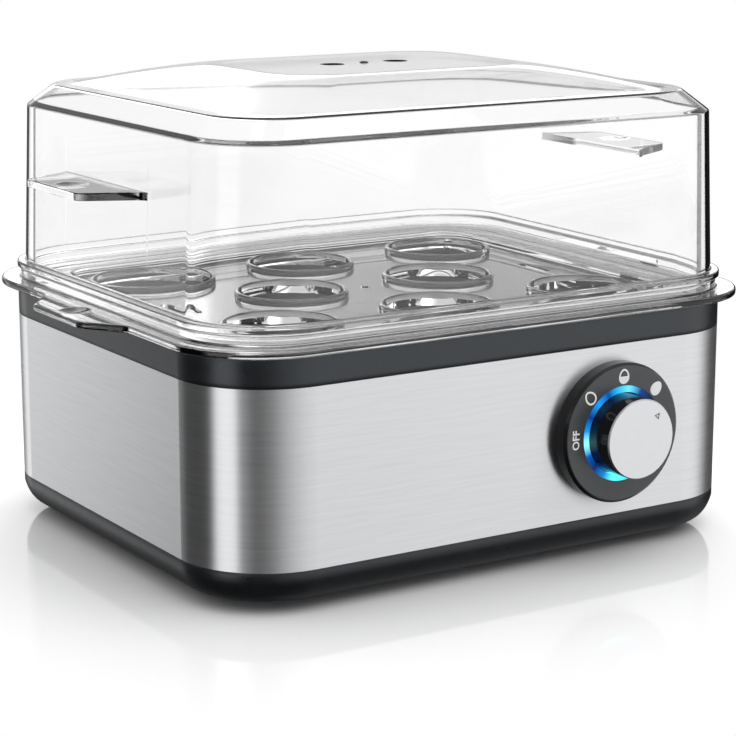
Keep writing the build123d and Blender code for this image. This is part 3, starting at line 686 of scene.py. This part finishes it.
def lid_cover():
    """Clear lid. Its profile is carried round the plan, with a run of rows that stand out into the finger
    tabs; plates with two round vents close the dome."""
    base = LID_LOW.z + LID_SKIRT_H
    wall = base + LID_FLANGE_T
    shoulder = wall + LID_WALL_H
    crown = shoulder + SLOPE_H
    dome = crown + DOME_H
    rows = lid_profile(base, wall, shoulder, crown, dome)
    at = run_start(LID_SHOULDER)
    turn = np.linspace(0, math.pi / 2, TAB_EDGE_STEPS)
    edge_rows = 2 * TAB_EDGE_STEPS
    out = np.concatenate([np.linspace(0, 1, TAB_ROWS), np.ones(edge_rows + 1), [0.0]])
    round_top = TAB_EDGE * (1 - np.cos(turn))
    round_low = LID_TAB_T - TAB_EDGE * (1 - np.sin(turn))
    down = np.concatenate([np.zeros(TAB_ROWS), round_top, round_low, [LID_TAB_T, LID_TAB_T]])
    z = wall + LID_TAB_UP - down
    draw = np.concatenate([np.ones(TAB_ROWS), 1 - np.sin(turn), 1 - np.cos(turn), [1.0, 1.0]])
    step = ((z - rows[at - 1, 3]) / (rows[at, 3] - rows[at - 1, 3]))[:, None]
    tab = rows[at - 1] * (1 - step) + rows[at] * step
    full = LID_HIGH.x - tab[0, 0]
    share = np.zeros(len(rows) + len(tab))
    share[at : at + len(tab)] = out * (1 - draw * TAB_EDGE / full)
    rows = np.concatenate([rows[:at], tab, rows[at:]])
    rows, added = with_run(rows, LID_DOME, DOME_ROWS)
    share = np.insert(share, added, np.zeros(DOME_ROWS))
    rise = rows[added : added + DOME_ROWS]
    rise[:, 3] = dome_height(rise[:, 0], crown)
    at += DOME_ROWS
    reach = tab_reach(TAB_Y, LID_TAB_ROOT, LID_TAB_TIP, full)
    loops = plan_loops(rows[:, :4], LID_SIDE_X, TAB_Y, share[:, None] * reach[None, :])
    upper = loops[at : at + TAB_ROWS]
    upper[..., 2] -= thumb_dish(upper, LID_HIGH.x)
    # Painted shade along the flange's lower edge towards the ends, and round the tabs' edges
    edge = (np.abs(rows[:, 3] - base) < TAB_EDGE) & (rows[:, 0] > HALF_X - TAB_EDGE)
    edge_shade = np.maximum(rows[:, 4:], FLANGE_EDGE_SHADE * edge[:, None] * end_share(loops))
    tab_edge = slice(at + TAB_ROWS, at + TAB_ROWS + edge_rows)
    rim = loops[tab_edge]
    slant = np.abs(rim[..., 1]) - LID_TAB_TIP / 2
    fade = np.clip(slant / TAB_SHADE_RISE, 0, 1)
    fade *= 1 - (1 - TAB_SHADE_LEFT) * np.clip(slant / TAB_SHADE_FALL, 0, 1)
    edge_shade[tab_edge] = TAB_EDGE_SHADE * fade * (np.abs(rim[..., 0]) > tab[0, 0] + TAB_SHADE_CLEAR)
    vents = [ring_points(VENT_R, VENT_POINTS) + np.array((i * VENT_PITCH / 2, 0.0)) for i in (-1, 1)]
    pip = turned(PIP_PROFILE * (PIP_R, PIP_H) + (0, dome), (0, 0), PIP_POINTS)
    patches = [(*skin(loops), edge_shade.ravel()), skin(pip)]
    patches += [skin(stacked(vent, (dome, dome - LID_TOP_T))) for vent in vents]
    patches.append(holed_plate(loops[0, :, :2], [*vents, pip[0, :, :2]], dome))
    patches.append(holed_plate(loops[-1, :, :2], vents, dome - LID_TOP_T))
    add_piece("clear_lid", patches, CLEAR, "lid", "clear_plastic", "lid")


egg_tray()
lid_cover()

# Dial print


def on_dial(patch, face):
    """A flat patch drawn in the dial's plane, seen from the front, laid on a face in front of it."""
    points, faces = patch
    x, up, out = points.T
    return np.stack([DIAL.x + x, face - out, DIAL.z + up], axis=1), faces


def spun(points, degrees, radius):
    """Flat points turned so that their top faces outwards, and moved out to a radius at an angle."""
    angle = math.radians(degrees)
    out = np.array((math.cos(angle), math.sin(angle)))
    side = np.array((out[1], -out[0]))
    return points[:, :1] * side + (points[:, 1:] + radius) * out


def printed(outline, holes, face):
    """A thin raised print: front and back plates and the walls round its outline and holes."""
    patches = [holed_plate(outline, holes, z) for z in (-MARK_T, MARK_T)]
    patches += [skin(stacked(rim, (-MARK_T, MARK_T))) for rim in (outline, *holes)]
    return [on_dial(patch, face) for patch in patches]


def egg_outline(width, height):
    """Egg: an ellipse whose width shrinks towards its upper end."""
    across, up = ring_points(0.5, EGG_POINTS).T
    return np.stack([width * across * (1 - 2 * EGG_TAPER * up), height * up], axis=1)


def dial_marks(material):
    """Three egg signs for soft, medium and hard: open, half filled and solid."""
    shell = egg_outline(EGG_W, EGG_H)
    hollow = egg_outline(EGG_W - 2 * EGG_LINE, EGG_H - 2 * EGG_LINE)
    upper_half = hollow[hollow[:, 1] > -SAME_PLACE]
    for (name, degrees), hole in zip(MARK_DEG.items(), (hollow, upper_half, None)):
        holes = [] if hole is None else [spun(hole, degrees, MARK_R)]
        patches = printed(spun(shell, degrees, MARK_R), holes, BEZEL_LOW.y)
        add_piece(name, patches, material, "base", "white_plastic")


def off_mark(material):
    """The word at the dial's rest place, drawn from the plain font's outline and laid along the ring."""
    curve = bpy.data.curves.new("dial_mark_off", "FONT")
    curve.body = "OFF"
    curve.resolution_u = OFF_CURVE_STEPS
    curve.offset = OFF_WEIGHT
    curve.extrude = 1.0
    holder = bpy.data.objects.new("dial_mark_off", curve)
    mesh = bpy.data.meshes.new_from_object(holder)
    points = mesh_points(mesh)
    faces = [list(polygon.vertices) for polygon in mesh.polygons]
    bpy.data.objects.remove(holder)
    bpy.data.curves.remove(curve)
    bpy.data.meshes.remove(mesh)
    low = points.min(axis=0)
    high = points.max(axis=0)
    flat = (points[:, :2] - (low + high)[:2] / 2) * OFF_H / (high - low)[1]
    laid = np.concatenate([spun(flat, OFF_DEG, MARK_R), points[:, 2:] * MARK_T], axis=1)
    patch = on_dial((laid, faces), BEZEL_LOW.y)
    add_piece("dial_mark_off", [patch], material, "base", "white_plastic")


def knob_pointer(material):
    """A small open triangle on the knob's cap that shows the chosen mark."""
    corner = np.array([90, 210, 330]) * math.pi / 180
    shape = np.stack([np.cos(corner), np.sin(corner)], axis=1) * POINTER_SIZE / math.sqrt(3)
    hole = shape * (1 - 2 * math.sqrt(3) * POINTER_LINE / POINTER_SIZE)
    rims = [spun(rim, POINTER_DEG, POINTER_R) for rim in (shape, hole)]
    patches = printed(rims[0], rims[1:], CAP_LOW.y)
    add_piece("knob_pointer", patches, material, "knob", "dark_plastic")


dial_marks(grained("mark_print", (0.92, 0.92, 0.92), (0.97, 0.97, 0.97), (0.4, 0.5)))
off_mark(bpy.data.materials["mark_print"])
knob_pointer(grained("pointer_print", (0.10, 0.10, 0.105), (0.14, 0.14, 0.145), (0.4, 0.5)))

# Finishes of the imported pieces

# Glow of the ring round the dial, as (degrees from +X towards +Z, colour)
RING_GLOW = (
    (0, (0.0, 0.02, 0.15)), (45, (0.0, 0.01, 0.05)), (62, (0.0, 0.04, 0.20)), (82, (0.12, 0.70, 1.0)),
    (98, (0.02, 0.42, 0.90)), (114, (0.0, 0.06, 0.30)), (132, (0.01, 0.28, 0.75)), (152, (0.0, 0.03, 0.20)),
    (170, (0.01, 0.24, 0.65)), (186, (0.30, 0.95, 1.0)), (203, (0.0, 0.08, 0.40)), (222, (0.0, 0.01, 0.10)),
    (240, (0.0, 0.18, 0.55)), (258, (0.12, 1.0, 1.0)), (278, (0.05, 0.65, 1.0)), (312, (0.0, 0.05, 0.30)),
    (360, (0.0, 0.02, 0.15)),
)
RING_STRENGTH = 1.3

# Where the dial plate's rim starts behind its face, and where the painted shadow line of the seam lies about the
# top of the steel
DIAL_RIM = (0.1 * MM, 0.25 * MM)
SEAM_SHADE_BELOW = (-1.0 * MM, -0.6 * MM)
SEAM_SHADE_ABOVE = (0.3 * MM, 0.8 * MM)

# How far the dark mouldings' edges are softened
MOULDING_SOFT_R = 2.0 * MM


def fill_ramp(ramp, rows):
    """Sets a colour ramp's stops from (degrees, colour) rows over a full turn."""
    stops = ramp.color_ramp.elements
    while len(stops) < len(rows):
        stops.new(1.0)
    for stop, (degrees, colour) in zip(stops, rows):
        stop.position = degrees / 360
        stop.color = (*colour, 1)


def turn_share(nodes, links, across, up):
    """Share of a full turn, from across towards up, that a direction stands at."""
    plane = nodes.new("ShaderNodeCombineXYZ")
    links.new(across, plane.inputs["X"])
    links.new(up, plane.inputs["Y"])
    around = nodes.new("ShaderNodeTexGradient")
    around.gradient_type = "RADIAL"
    links.new(plane.outputs["Vector"], around.inputs["Vector"])
    half = nodes.new("ShaderNodeMath")
    half.operation = "ADD"
    half.inputs[1].default_value = 0.5
    links.new(around.outputs["Fac"], half.inputs[0])
    turn = nodes.new("ShaderNodeMath")
    turn.operation = "FRACT"
    links.new(half.outputs[0], turn.inputs[0])
    return turn.outputs[0]


def lit_ring():
    """Light guide: its glow runs between bright cyan over each lamp and deep blue between them."""
    material, nodes, links, output = new_material("light_guide")
    shader = nodes.new("ShaderNodeBsdfPrincipled")
    set_inputs(shader, {"Base Color": (0.004, 0.01, 0.02, 1), "Roughness": 0.2, "Specular IOR Level": 0.1})
    shader.inputs["Emission Strength"].default_value = RING_STRENGTH
    place = nodes.new("ShaderNodeTexCoord")
    centre = nodes.new("ShaderNodeVectorMath")
    centre.operation = "SUBTRACT"
    centre.inputs[1].default_value = DIAL
    links.new(place.outputs["Object"], centre.inputs[0])
    away = axes(nodes, links, centre.outputs[0])
    ramp = nodes.new("ShaderNodeValToRGB")
    fill_ramp(ramp, RING_GLOW)
    links.new(turn_share(nodes, links, away["X"], away["Z"]), ramp.inputs["Fac"])
    links.new(ramp.outputs["Color"], shader.inputs["Emission Color"])
    links.new(shader.outputs["BSDF"], output.inputs["Surface"])
    return material


def dial_plate():
    """Dial plate: a satin grey front face on a gloss black rim, parted at the rim's bevel."""
    material = grained("dial_plate", (0.050, 0.053, 0.056), (0.060, 0.063, 0.066), (0.30, 0.38))
    nodes = material.node_tree.nodes
    links = material.node_tree.links
    shader = nodes["Principled BSDF"]
    place = axes(nodes, links, nodes.new("ShaderNodeTexCoord").outputs["Object"])
    start, end = (BEZEL_LOW.y + depth for depth in DIAL_RIM)
    rim = ranged(nodes, links, place["Y"], start, end, 0.0, 1.0)
    overlaid(nodes, links, shader.inputs["Base Color"], rim, (0.006, 0.006, 0.007, 1))
    overlaid(nodes, links, shader.inputs["Roughness"], rim, 0.18)
    return material


def brushed_steel():
    """Wrapped steel: grain drawn out along the band, which spreads its shine up and down."""
    return grained(
        "brushed_steel", (0.79, 0.798, 0.812), (0.90, 0.908, 0.922), (0.34, 0.38), scale=1.0, fine=1.7,
        stretch=(40, 40, 1000), bump=0.002, metallic=1.0, anisotropic=0.92, anisotropic_rotation=0.25,
    )


def moulding_with_painted_seam_shadow():
    """Dark moulding with softened edges, and a painted black shadow line where the frame meets the top of the
    steel.
    """
    material = grained(
        "dark_moulding", (0.006, 0.007, 0.009), (0.009, 0.0105, 0.013), (0.26, 0.34),
        specular_ior_level=0.64, specular_tint=(0.90, 0.96, 1.0, 1),
    )
    nodes = material.node_tree.nodes
    links = material.node_tree.links
    shader = nodes["Principled BSDF"]
    place = axes(nodes, links, nodes.new("ShaderNodeTexCoord").outputs["Object"])
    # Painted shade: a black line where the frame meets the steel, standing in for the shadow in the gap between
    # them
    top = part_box("steel_band")[1].z
    below = ranged(nodes, links, place["Z"], *(top + z for z in SEAM_SHADE_BELOW), 0.0, 1.0)
    above = ranged(nodes, links, place["Z"], *(top + z for z in SEAM_SHADE_ABOVE), 1.0, 0.0)
    seam_shadow = combined(nodes, links, "MULTIPLY", below, above)
    overlaid(nodes, links, shader.inputs["Base Color"], seam_shadow, (0.004, 0.004, 0.005, 1))
    soft = nodes.new("ShaderNodeBevel")
    soft.samples = 6
    soft.inputs["Radius"].default_value = MOULDING_SOFT_R
    links.new(soft.outputs["Normal"], nodes["Bump"].inputs["Normal"])
    return material


FINISHES = {
    "brushed_band": brushed_steel(),
    "dark_plastic": moulding_with_painted_seam_shadow(),
    "foot_rubber": grained(
        "foot_rubber", (0.012, 0.012, 0.012), (0.022, 0.022, 0.022), (0.65, 0.85), bump=0.2
    ),
    "zinc_steel": grained("zinc_plate", (0.50, 0.51, 0.53), (0.66, 0.67, 0.69), (0.28, 0.45), metallic=1.0),
    "silicone": grained("silicone_seal", (0.40, 0.40, 0.39), (0.48, 0.48, 0.47), (0.55, 0.7)),
    "coated_bowl": grained(
        "coated_bowl", (0.040, 0.041, 0.043), (0.075, 0.076, 0.079), (0.32, 0.45), scale=900, fine=4000,
        bump=0.12,
    ),
    "cast_aluminium": grained(
        "cast_aluminium", (0.52, 0.52, 0.52), (0.66, 0.66, 0.66), (0.42, 0.6), bump=0.25, metallic=1.0
    ),
    "heater_sheath": grained(
        "heater_sheath", (0.16, 0.13, 0.11), (0.26, 0.22, 0.19), (0.4, 0.55), metallic=1.0
    ),
    "thermostat_body": grained("thermostat_body", (0.035, 0.022, 0.014), (0.055, 0.035, 0.022), (0.35, 0.5)),
    "dial_plastic": dial_plate(),
    "light_guide": lit_ring(),
    "white_plastic": grained("white_plastic", (0.72, 0.72, 0.70), (0.80, 0.80, 0.78), (0.35, 0.45)),
    "circuit_board": grained(
        "circuit_board", (0.008, 0.10, 0.035), (0.014, 0.16, 0.06), (0.3, 0.45), scale=900
    ),
    "lamp_lens": grained("lamp_lens", (0.75, 0.78, 0.60), (0.85, 0.86, 0.70), (0.1, 0.2)),
    "switch_metal": grained(
        "switch_metal", (0.45, 0.45, 0.46), (0.60, 0.60, 0.61), (0.3, 0.45), metallic=1.0
    ),
    "black_plastic": grained("black_plastic", (0.010, 0.010, 0.011), (0.016, 0.016, 0.017), (0.4, 0.5)),
    "relay_case": grained("relay_case", (0.015, 0.05, 0.16), (0.025, 0.07, 0.21), (0.3, 0.4)),
    "knob_plastic": grained(
        "knob_gloss", (0.005, 0.005, 0.006), (0.008, 0.008, 0.009), (0.10, 0.16), bump=0.01
    ),
    "spun_aluminium": grained(
        "spun_cap", (0.64, 0.648, 0.66), (0.70, 0.708, 0.72), (0.30, 0.34), bump=0.005, metallic=1.0
    ),
    "brass": grained("brass", (0.60, 0.42, 0.16), (0.72, 0.52, 0.22), (0.25, 0.4), metallic=1.0),
    "wire_sleeve": grained("wire_sleeve", (0.55, 0.53, 0.48), (0.66, 0.64, 0.58), (0.6, 0.75), bump=0.2),
    "clear_plastic": CLEAR,
}


def round_plinth():
    """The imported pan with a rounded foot. A copy is cut at a row of heights, and its outer points are drawn
    along the plan's normal from the straight slope to a quadratic curve, which starts above the slope, ends
    at its foot and has its control point low and near the outside."""
    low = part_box("base_plinth")[0].z
    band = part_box("steel_band")[0].z
    shape = bmesh.new()
    shape.from_mesh(frame["nodes"]["base_plinth"].data)
    bmesh.ops.remove_doubles(shape, verts=shape.verts, dist=MERGE)
    for z in np.linspace(low, low + PLINTH_ROUND_H, PLINTH_ROWS)[1:]:
        whole = [*shape.verts, *shape.edges, *shape.faces]
        bmesh.ops.bisect_plane(shape, geom=whole, dist=MERGE / 2, plane_co=(0, 0, z), plane_no=(0, 0, 1))
    bmesh.ops.triangulate(shape, faces=shape.faces)
    mesh = bpy.data.meshes.new("round_plinth")
    shape.to_mesh(mesh)
    shape.free()
    points = mesh_points(mesh)
    faces = np.empty(len(mesh.loops), np.int32)
    mesh.loops.foreach_get("vertex_index", faces)
    bpy.data.meshes.remove(mesh)
    centre = np.array((HALF_X - CORNER_R, HALF_Y - CORNER_R))
    out = np.clip(np.abs(points[:, :2]) - centre, 0, None)
    reach = np.linalg.norm(out, axis=1)
    height = points[:, 2] - low
    bend = band - PLINTH_UPRIGHT_H - low
    slope = PLINTH_INSET * np.clip(1 - height / bend, 0, 1)
    outer = (np.abs(CORNER_R - reach - slope) < PLINTH_SLACK) & (height < band - low - PLINTH_SLACK)
    t = np.linspace(1, 0, PLINTH_CURVE_STEPS)
    up = PLINTH_ROUND_H * (1 - t) ** 2 + 2 * PLINTH_PULL_H * t * (1 - t)
    across = PLINTH_INSET * t**2 + 2 * PLINTH_PULL_IN * t * (1 - t)
    inset = np.interp(height, up, across)
    scale = np.where(outer, (CORNER_R - inset) / np.maximum(reach, MERGE), 1.0)
    points[:, :2] += np.sign(points[:, :2]) * out * (scale - 1)[:, None]
    patch = (points, faces.reshape(-1, 3).tolist())
    add_piece("round_plinth", [patch], FINISHES["dark_plastic"], "base", "dark_plastic", "base_plinth")


round_plinth()

for row in frame["record"]["subparts"]:
    node = frame["nodes"][row["node"]]
    node.data.materials.clear()
    node.data.materials.append(FINISHES[row["material_slot"]])

# Stage


def plain_sight(nodes, links, path):
    """One for what the camera sees, straight or through glass."""
    rays = path.outputs
    return combined(nodes, links, "MAXIMUM", rays["Is Camera Ray"], rays["Is Transmission Ray"])


def studio_floor():
    """Pale glossy floor. It is seen lit up and fades to white; shiny pieces see the studio in its place."""
    mesh = bpy.data.meshes.new("studio_floor")
    corners = np.array([(-1, -1, 0), (1, -1, 0), (1, 1, 0), (-1, 1, 0)]) * FLOOR_HALF
    mesh.from_pydata(corners.tolist(), [], [(0, 1, 2, 3)])
    material, nodes, links, output = new_material("studio_floor")
    place = nodes.new("ShaderNodeTexCoord")
    away = place.outputs["Object"]
    for operation, value in (("ABSOLUTE", None), ("SUBTRACT", (HALF_X, HALF_Y, 0)), ("MAXIMUM", (0, 0, 0))):
        step = nodes.new("ShaderNodeVectorMath")
        step.operation = operation
        links.new(away, step.inputs[0])
        if value:
            step.inputs[1].default_value = value
        away = step.outputs[0]
    distance = nodes.new("ShaderNodeVectorMath")
    distance.operation = "LENGTH"
    links.new(away, distance.inputs[0])
    distance = distance.outputs["Value"]
    shader = nodes.new("ShaderNodeBsdfPrincipled")
    set_inputs(shader, {"Base Color": (0.68, 0.68, 0.685, 1), "Roughness": 0.06, "IOR": 1.5})
    near = nodes.new("ShaderNodeAmbientOcclusion")
    near.inputs["Distance"].default_value = FLOOR_SHADE_REACH
    glow = nodes.new("ShaderNodeEmission")
    links.new(near.outputs["Color"], glow.inputs["Color"])
    path = nodes.new("ShaderNodeLightPath")
    seen = plain_sight(nodes, links, path)
    lift = ranged(nodes, links, near.outputs["AO"], 0.0, 1.0, 0.0, FLOOR_LIFT)
    links.new(combined(nodes, links, "MULTIPLY", seen, lift), glow.inputs["Strength"])
    lit = nodes.new("ShaderNodeAddShader")
    links.new(shader.outputs["BSDF"], lit.inputs[0])
    links.new(glow.outputs["Emission"], lit.inputs[1])
    white = nodes.new("ShaderNodeEmission")
    white.inputs["Color"].default_value = (1, 1, 1, 1)
    faded = nodes.new("ShaderNodeMixShader")
    far = ranged(nodes, links, distance, *FLOOR_FADE, 0.0, 1.0)
    links.new(combined(nodes, links, "MULTIPLY", seen, far), faded.inputs["Fac"])
    links.new(lit.outputs["Shader"], faded.inputs[1])
    links.new(white.outputs["Emission"], faded.inputs[2])
    through = nodes.new("ShaderNodeBsdfTransparent")
    mix = nodes.new("ShaderNodeMixShader")
    links.new(path.outputs["Is Glossy Ray"], mix.inputs["Fac"])
    links.new(faded.outputs["Shader"], mix.inputs[1])
    links.new(through.outputs["BSDF"], mix.inputs[2])
    links.new(mix.outputs["Shader"], output.inputs["Surface"])
    mesh.materials.append(material)
    floor = bpy.data.objects.new("studio_floor", mesh)
    bpy.context.scene.collection.objects.link(floor)


# Brightness that shiny pieces see round them, as (degrees from +X towards +Y, level), from below upwards
STUDIO_BELOW = (
    (0, 0.22), (30, 0.22), (55, 0.05), (95, 0.10), (130, 0.02), (300, 0.02), (335, 0.18), (360, 0.22),
)
STUDIO_LOW = (
    (0, 0.10), (7, 0.03), (60, 0.03), (92, 0.20), (105, 1.38), (111, 1.29), (113, 1.02), (115, 0.77),
    (117, 0.56), (119, 0.40), (122, 0.035), (173, 0.035), (182, 1.75), (203, 1.75), (209, 0.04), (226, 0.09),
    (238, 0.22), (249, 0.42), (260, 0.76), (272, 1.02), (287, 1.20), (305, 1.28), (325, 1.24), (339, 1.00),
    (351, 0.45), (360, 0.15),
)
STUDIO_MIDDLE = (
    (0, 0.08), (8, 0.02), (44, 0.02), (54, 0.74), (80, 0.74), (95, 0.80), (112, 0.70), (122, 0.05),
    (172, 0.05), (181, 1.30), (206, 1.30), (213, 0.06), (250, 0.15), (280, 0.70), (300, 0.95), (335, 0.95),
    (360, 0.08),
)
STUDIO_STRIP = (
    (0, 0.80), (32, 0.90), (42, 2.20), (76, 2.20), (90, 0.90), (112, 0.70), (126, 0.12), (172, 0.10),
    (181, 1.00), (218, 1.00), (224, 0.10), (250, 0.15), (280, 0.70), (300, 0.95), (360, 0.80),
)
STUDIO_HIGH = (
    (0, 0.72), (110, 0.72), (126, 0.20), (172, 0.20), (181, 1.00), (218, 1.00), (224, 0.20), (300, 0.95),
    (360, 0.72),
)

# The rings over the lowest one, each with the upward shares of a direction between which it takes over
STUDIO_RINGS = (
    (STUDIO_LOW, -0.60, -0.28), (STUDIO_MIDDLE, -0.10, -0.02), (STUDIO_STRIP, 0.13, 0.16),
    (STUDIO_HIGH, 0.24, 0.32),
)

# What glass shows of the studio above it, and where that starts
STUDIO_CEILING = (
    (0, 0.60), (57, 0.60), (63, 1.00), (66, 2.60), (80, 2.60), (86, 0.80), (200, 0.80), (360, 0.60),
)
CEILING_START = (0.12, 0.17)

# The ramps hold each level divided by this, and the light is raised by it, so that a level can pass white
STUDIO_GAIN = 4.0


def studio_ramp(nodes, links, around, rows):
    """A ramp of brightness round the studio."""
    ramp = nodes.new("ShaderNodeValToRGB")
    fill_ramp(ramp, [(azimuth, (level / STUDIO_GAIN,) * 3) for azimuth, level in rows])
    links.new(around, ramp.inputs["Fac"])
    return ramp.outputs["Color"]


def studio_world():
    """White room for the camera and for soft light; shiny pieces see softboxes and dark gaps round them."""
    world = bpy.data.worlds.new("studio")
    bpy.context.scene.world = world
    world.use_nodes = True
    nodes = world.node_tree.nodes
    links = world.node_tree.links
    nodes.clear()
    output = nodes.new("ShaderNodeOutputWorld")
    way = axes(nodes, links, nodes.new("ShaderNodeTexCoord").outputs["Generated"])
    around = turn_share(nodes, links, way["X"], way["Y"])
    level = studio_ramp(nodes, links, around, STUDIO_BELOW)
    for rows, start, end in STUDIO_RINGS:
        rings = nodes.new("ShaderNodeMix")
        rings.data_type = "RGBA"
        links.new(ranged(nodes, links, way["Z"], start, end, 0.0, 1.0), rings.inputs["Factor"])
        links.new(level, rings.inputs["A"])
        links.new(studio_ramp(nodes, links, around, rows), rings.inputs["B"])
        level = rings.outputs["Result"]
    plain = nodes.new("ShaderNodeBackground")
    plain.inputs["Color"].default_value = (0.80, 0.80, 0.80, 1)
    studio = nodes.new("ShaderNodeBackground")
    links.new(level, studio.inputs["Color"])
    studio.inputs["Strength"].default_value = STUDIO_GAIN
    white = nodes.new("ShaderNodeBackground")
    path = nodes.new("ShaderNodeLightPath")
    overhead = ranged(nodes, links, way["Z"], *CEILING_START, 0.0, 1.0)
    ceiling = nodes.new("ShaderNodeMix")
    ceiling.data_type = "RGBA"
    ceiling.inputs["A"].default_value = (*(1 / STUDIO_GAIN,) * 3, 1)
    above = combined(nodes, links, "MULTIPLY", overhead, path.outputs["Is Transmission Ray"])
    links.new(above, ceiling.inputs["Factor"])
    links.new(studio_ramp(nodes, links, around, STUDIO_CEILING), ceiling.inputs["B"])
    links.new(ceiling.outputs["Result"], white.inputs["Color"])
    white.inputs["Strength"].default_value = STUDIO_GAIN
    shiny = nodes.new("ShaderNodeMixShader")
    links.new(path.outputs["Is Glossy Ray"], shiny.inputs["Fac"])
    links.new(plain.outputs["Background"], shiny.inputs[1])
    links.new(studio.outputs["Background"], shiny.inputs[2])
    shown = nodes.new("ShaderNodeMixShader")
    links.new(plain_sight(nodes, links, path), shown.inputs["Fac"])
    links.new(shiny.outputs["Shader"], shown.inputs[1])
    links.new(white.outputs["Background"], shown.inputs[2])
    links.new(shown.outputs["Shader"], output.inputs["Surface"])


def soft_sun(name, towards, spread_deg, strength):
    """Wide even light from one side of the sky, which leaves the floor evenly lit."""
    lamp = bpy.data.lights.new(name, "SUN")
    lamp.energy = strength
    lamp.angle = math.radians(spread_deg)
    holder = bpy.data.objects.new(name, lamp)
    holder.rotation_euler = (-Vector(towards)).to_track_quat("-Z", "Y").to_euler()
    holder.visible_glossy = False
    bpy.context.scene.collection.objects.link(holder)


def photo_camera():
    """Camera at the photograph's viewing angle."""
    data = bpy.data.cameras.new("camera")
    data.lens = CAMERA_LENS
    data.sensor_width = CAMERA_SENSOR
    data.clip_start = 0.01
    data.clip_end = 100
    camera = bpy.data.objects.new("camera", data)
    camera.location = CAMERA_AT
    camera.rotation_euler = (math.radians(CAMERA_PITCH_DEG), 0, math.radians(CAMERA_TURN_DEG))
    bpy.context.scene.collection.objects.link(camera)
    bpy.context.scene.camera = camera


studio_floor()
studio_world()
soft_sun("overhead_light", towards=(0.3, -0.5, 1.0), spread_deg=60, strength=1.0)
photo_camera()
bpy.context.scene.view_settings.view_transform = "Standard"
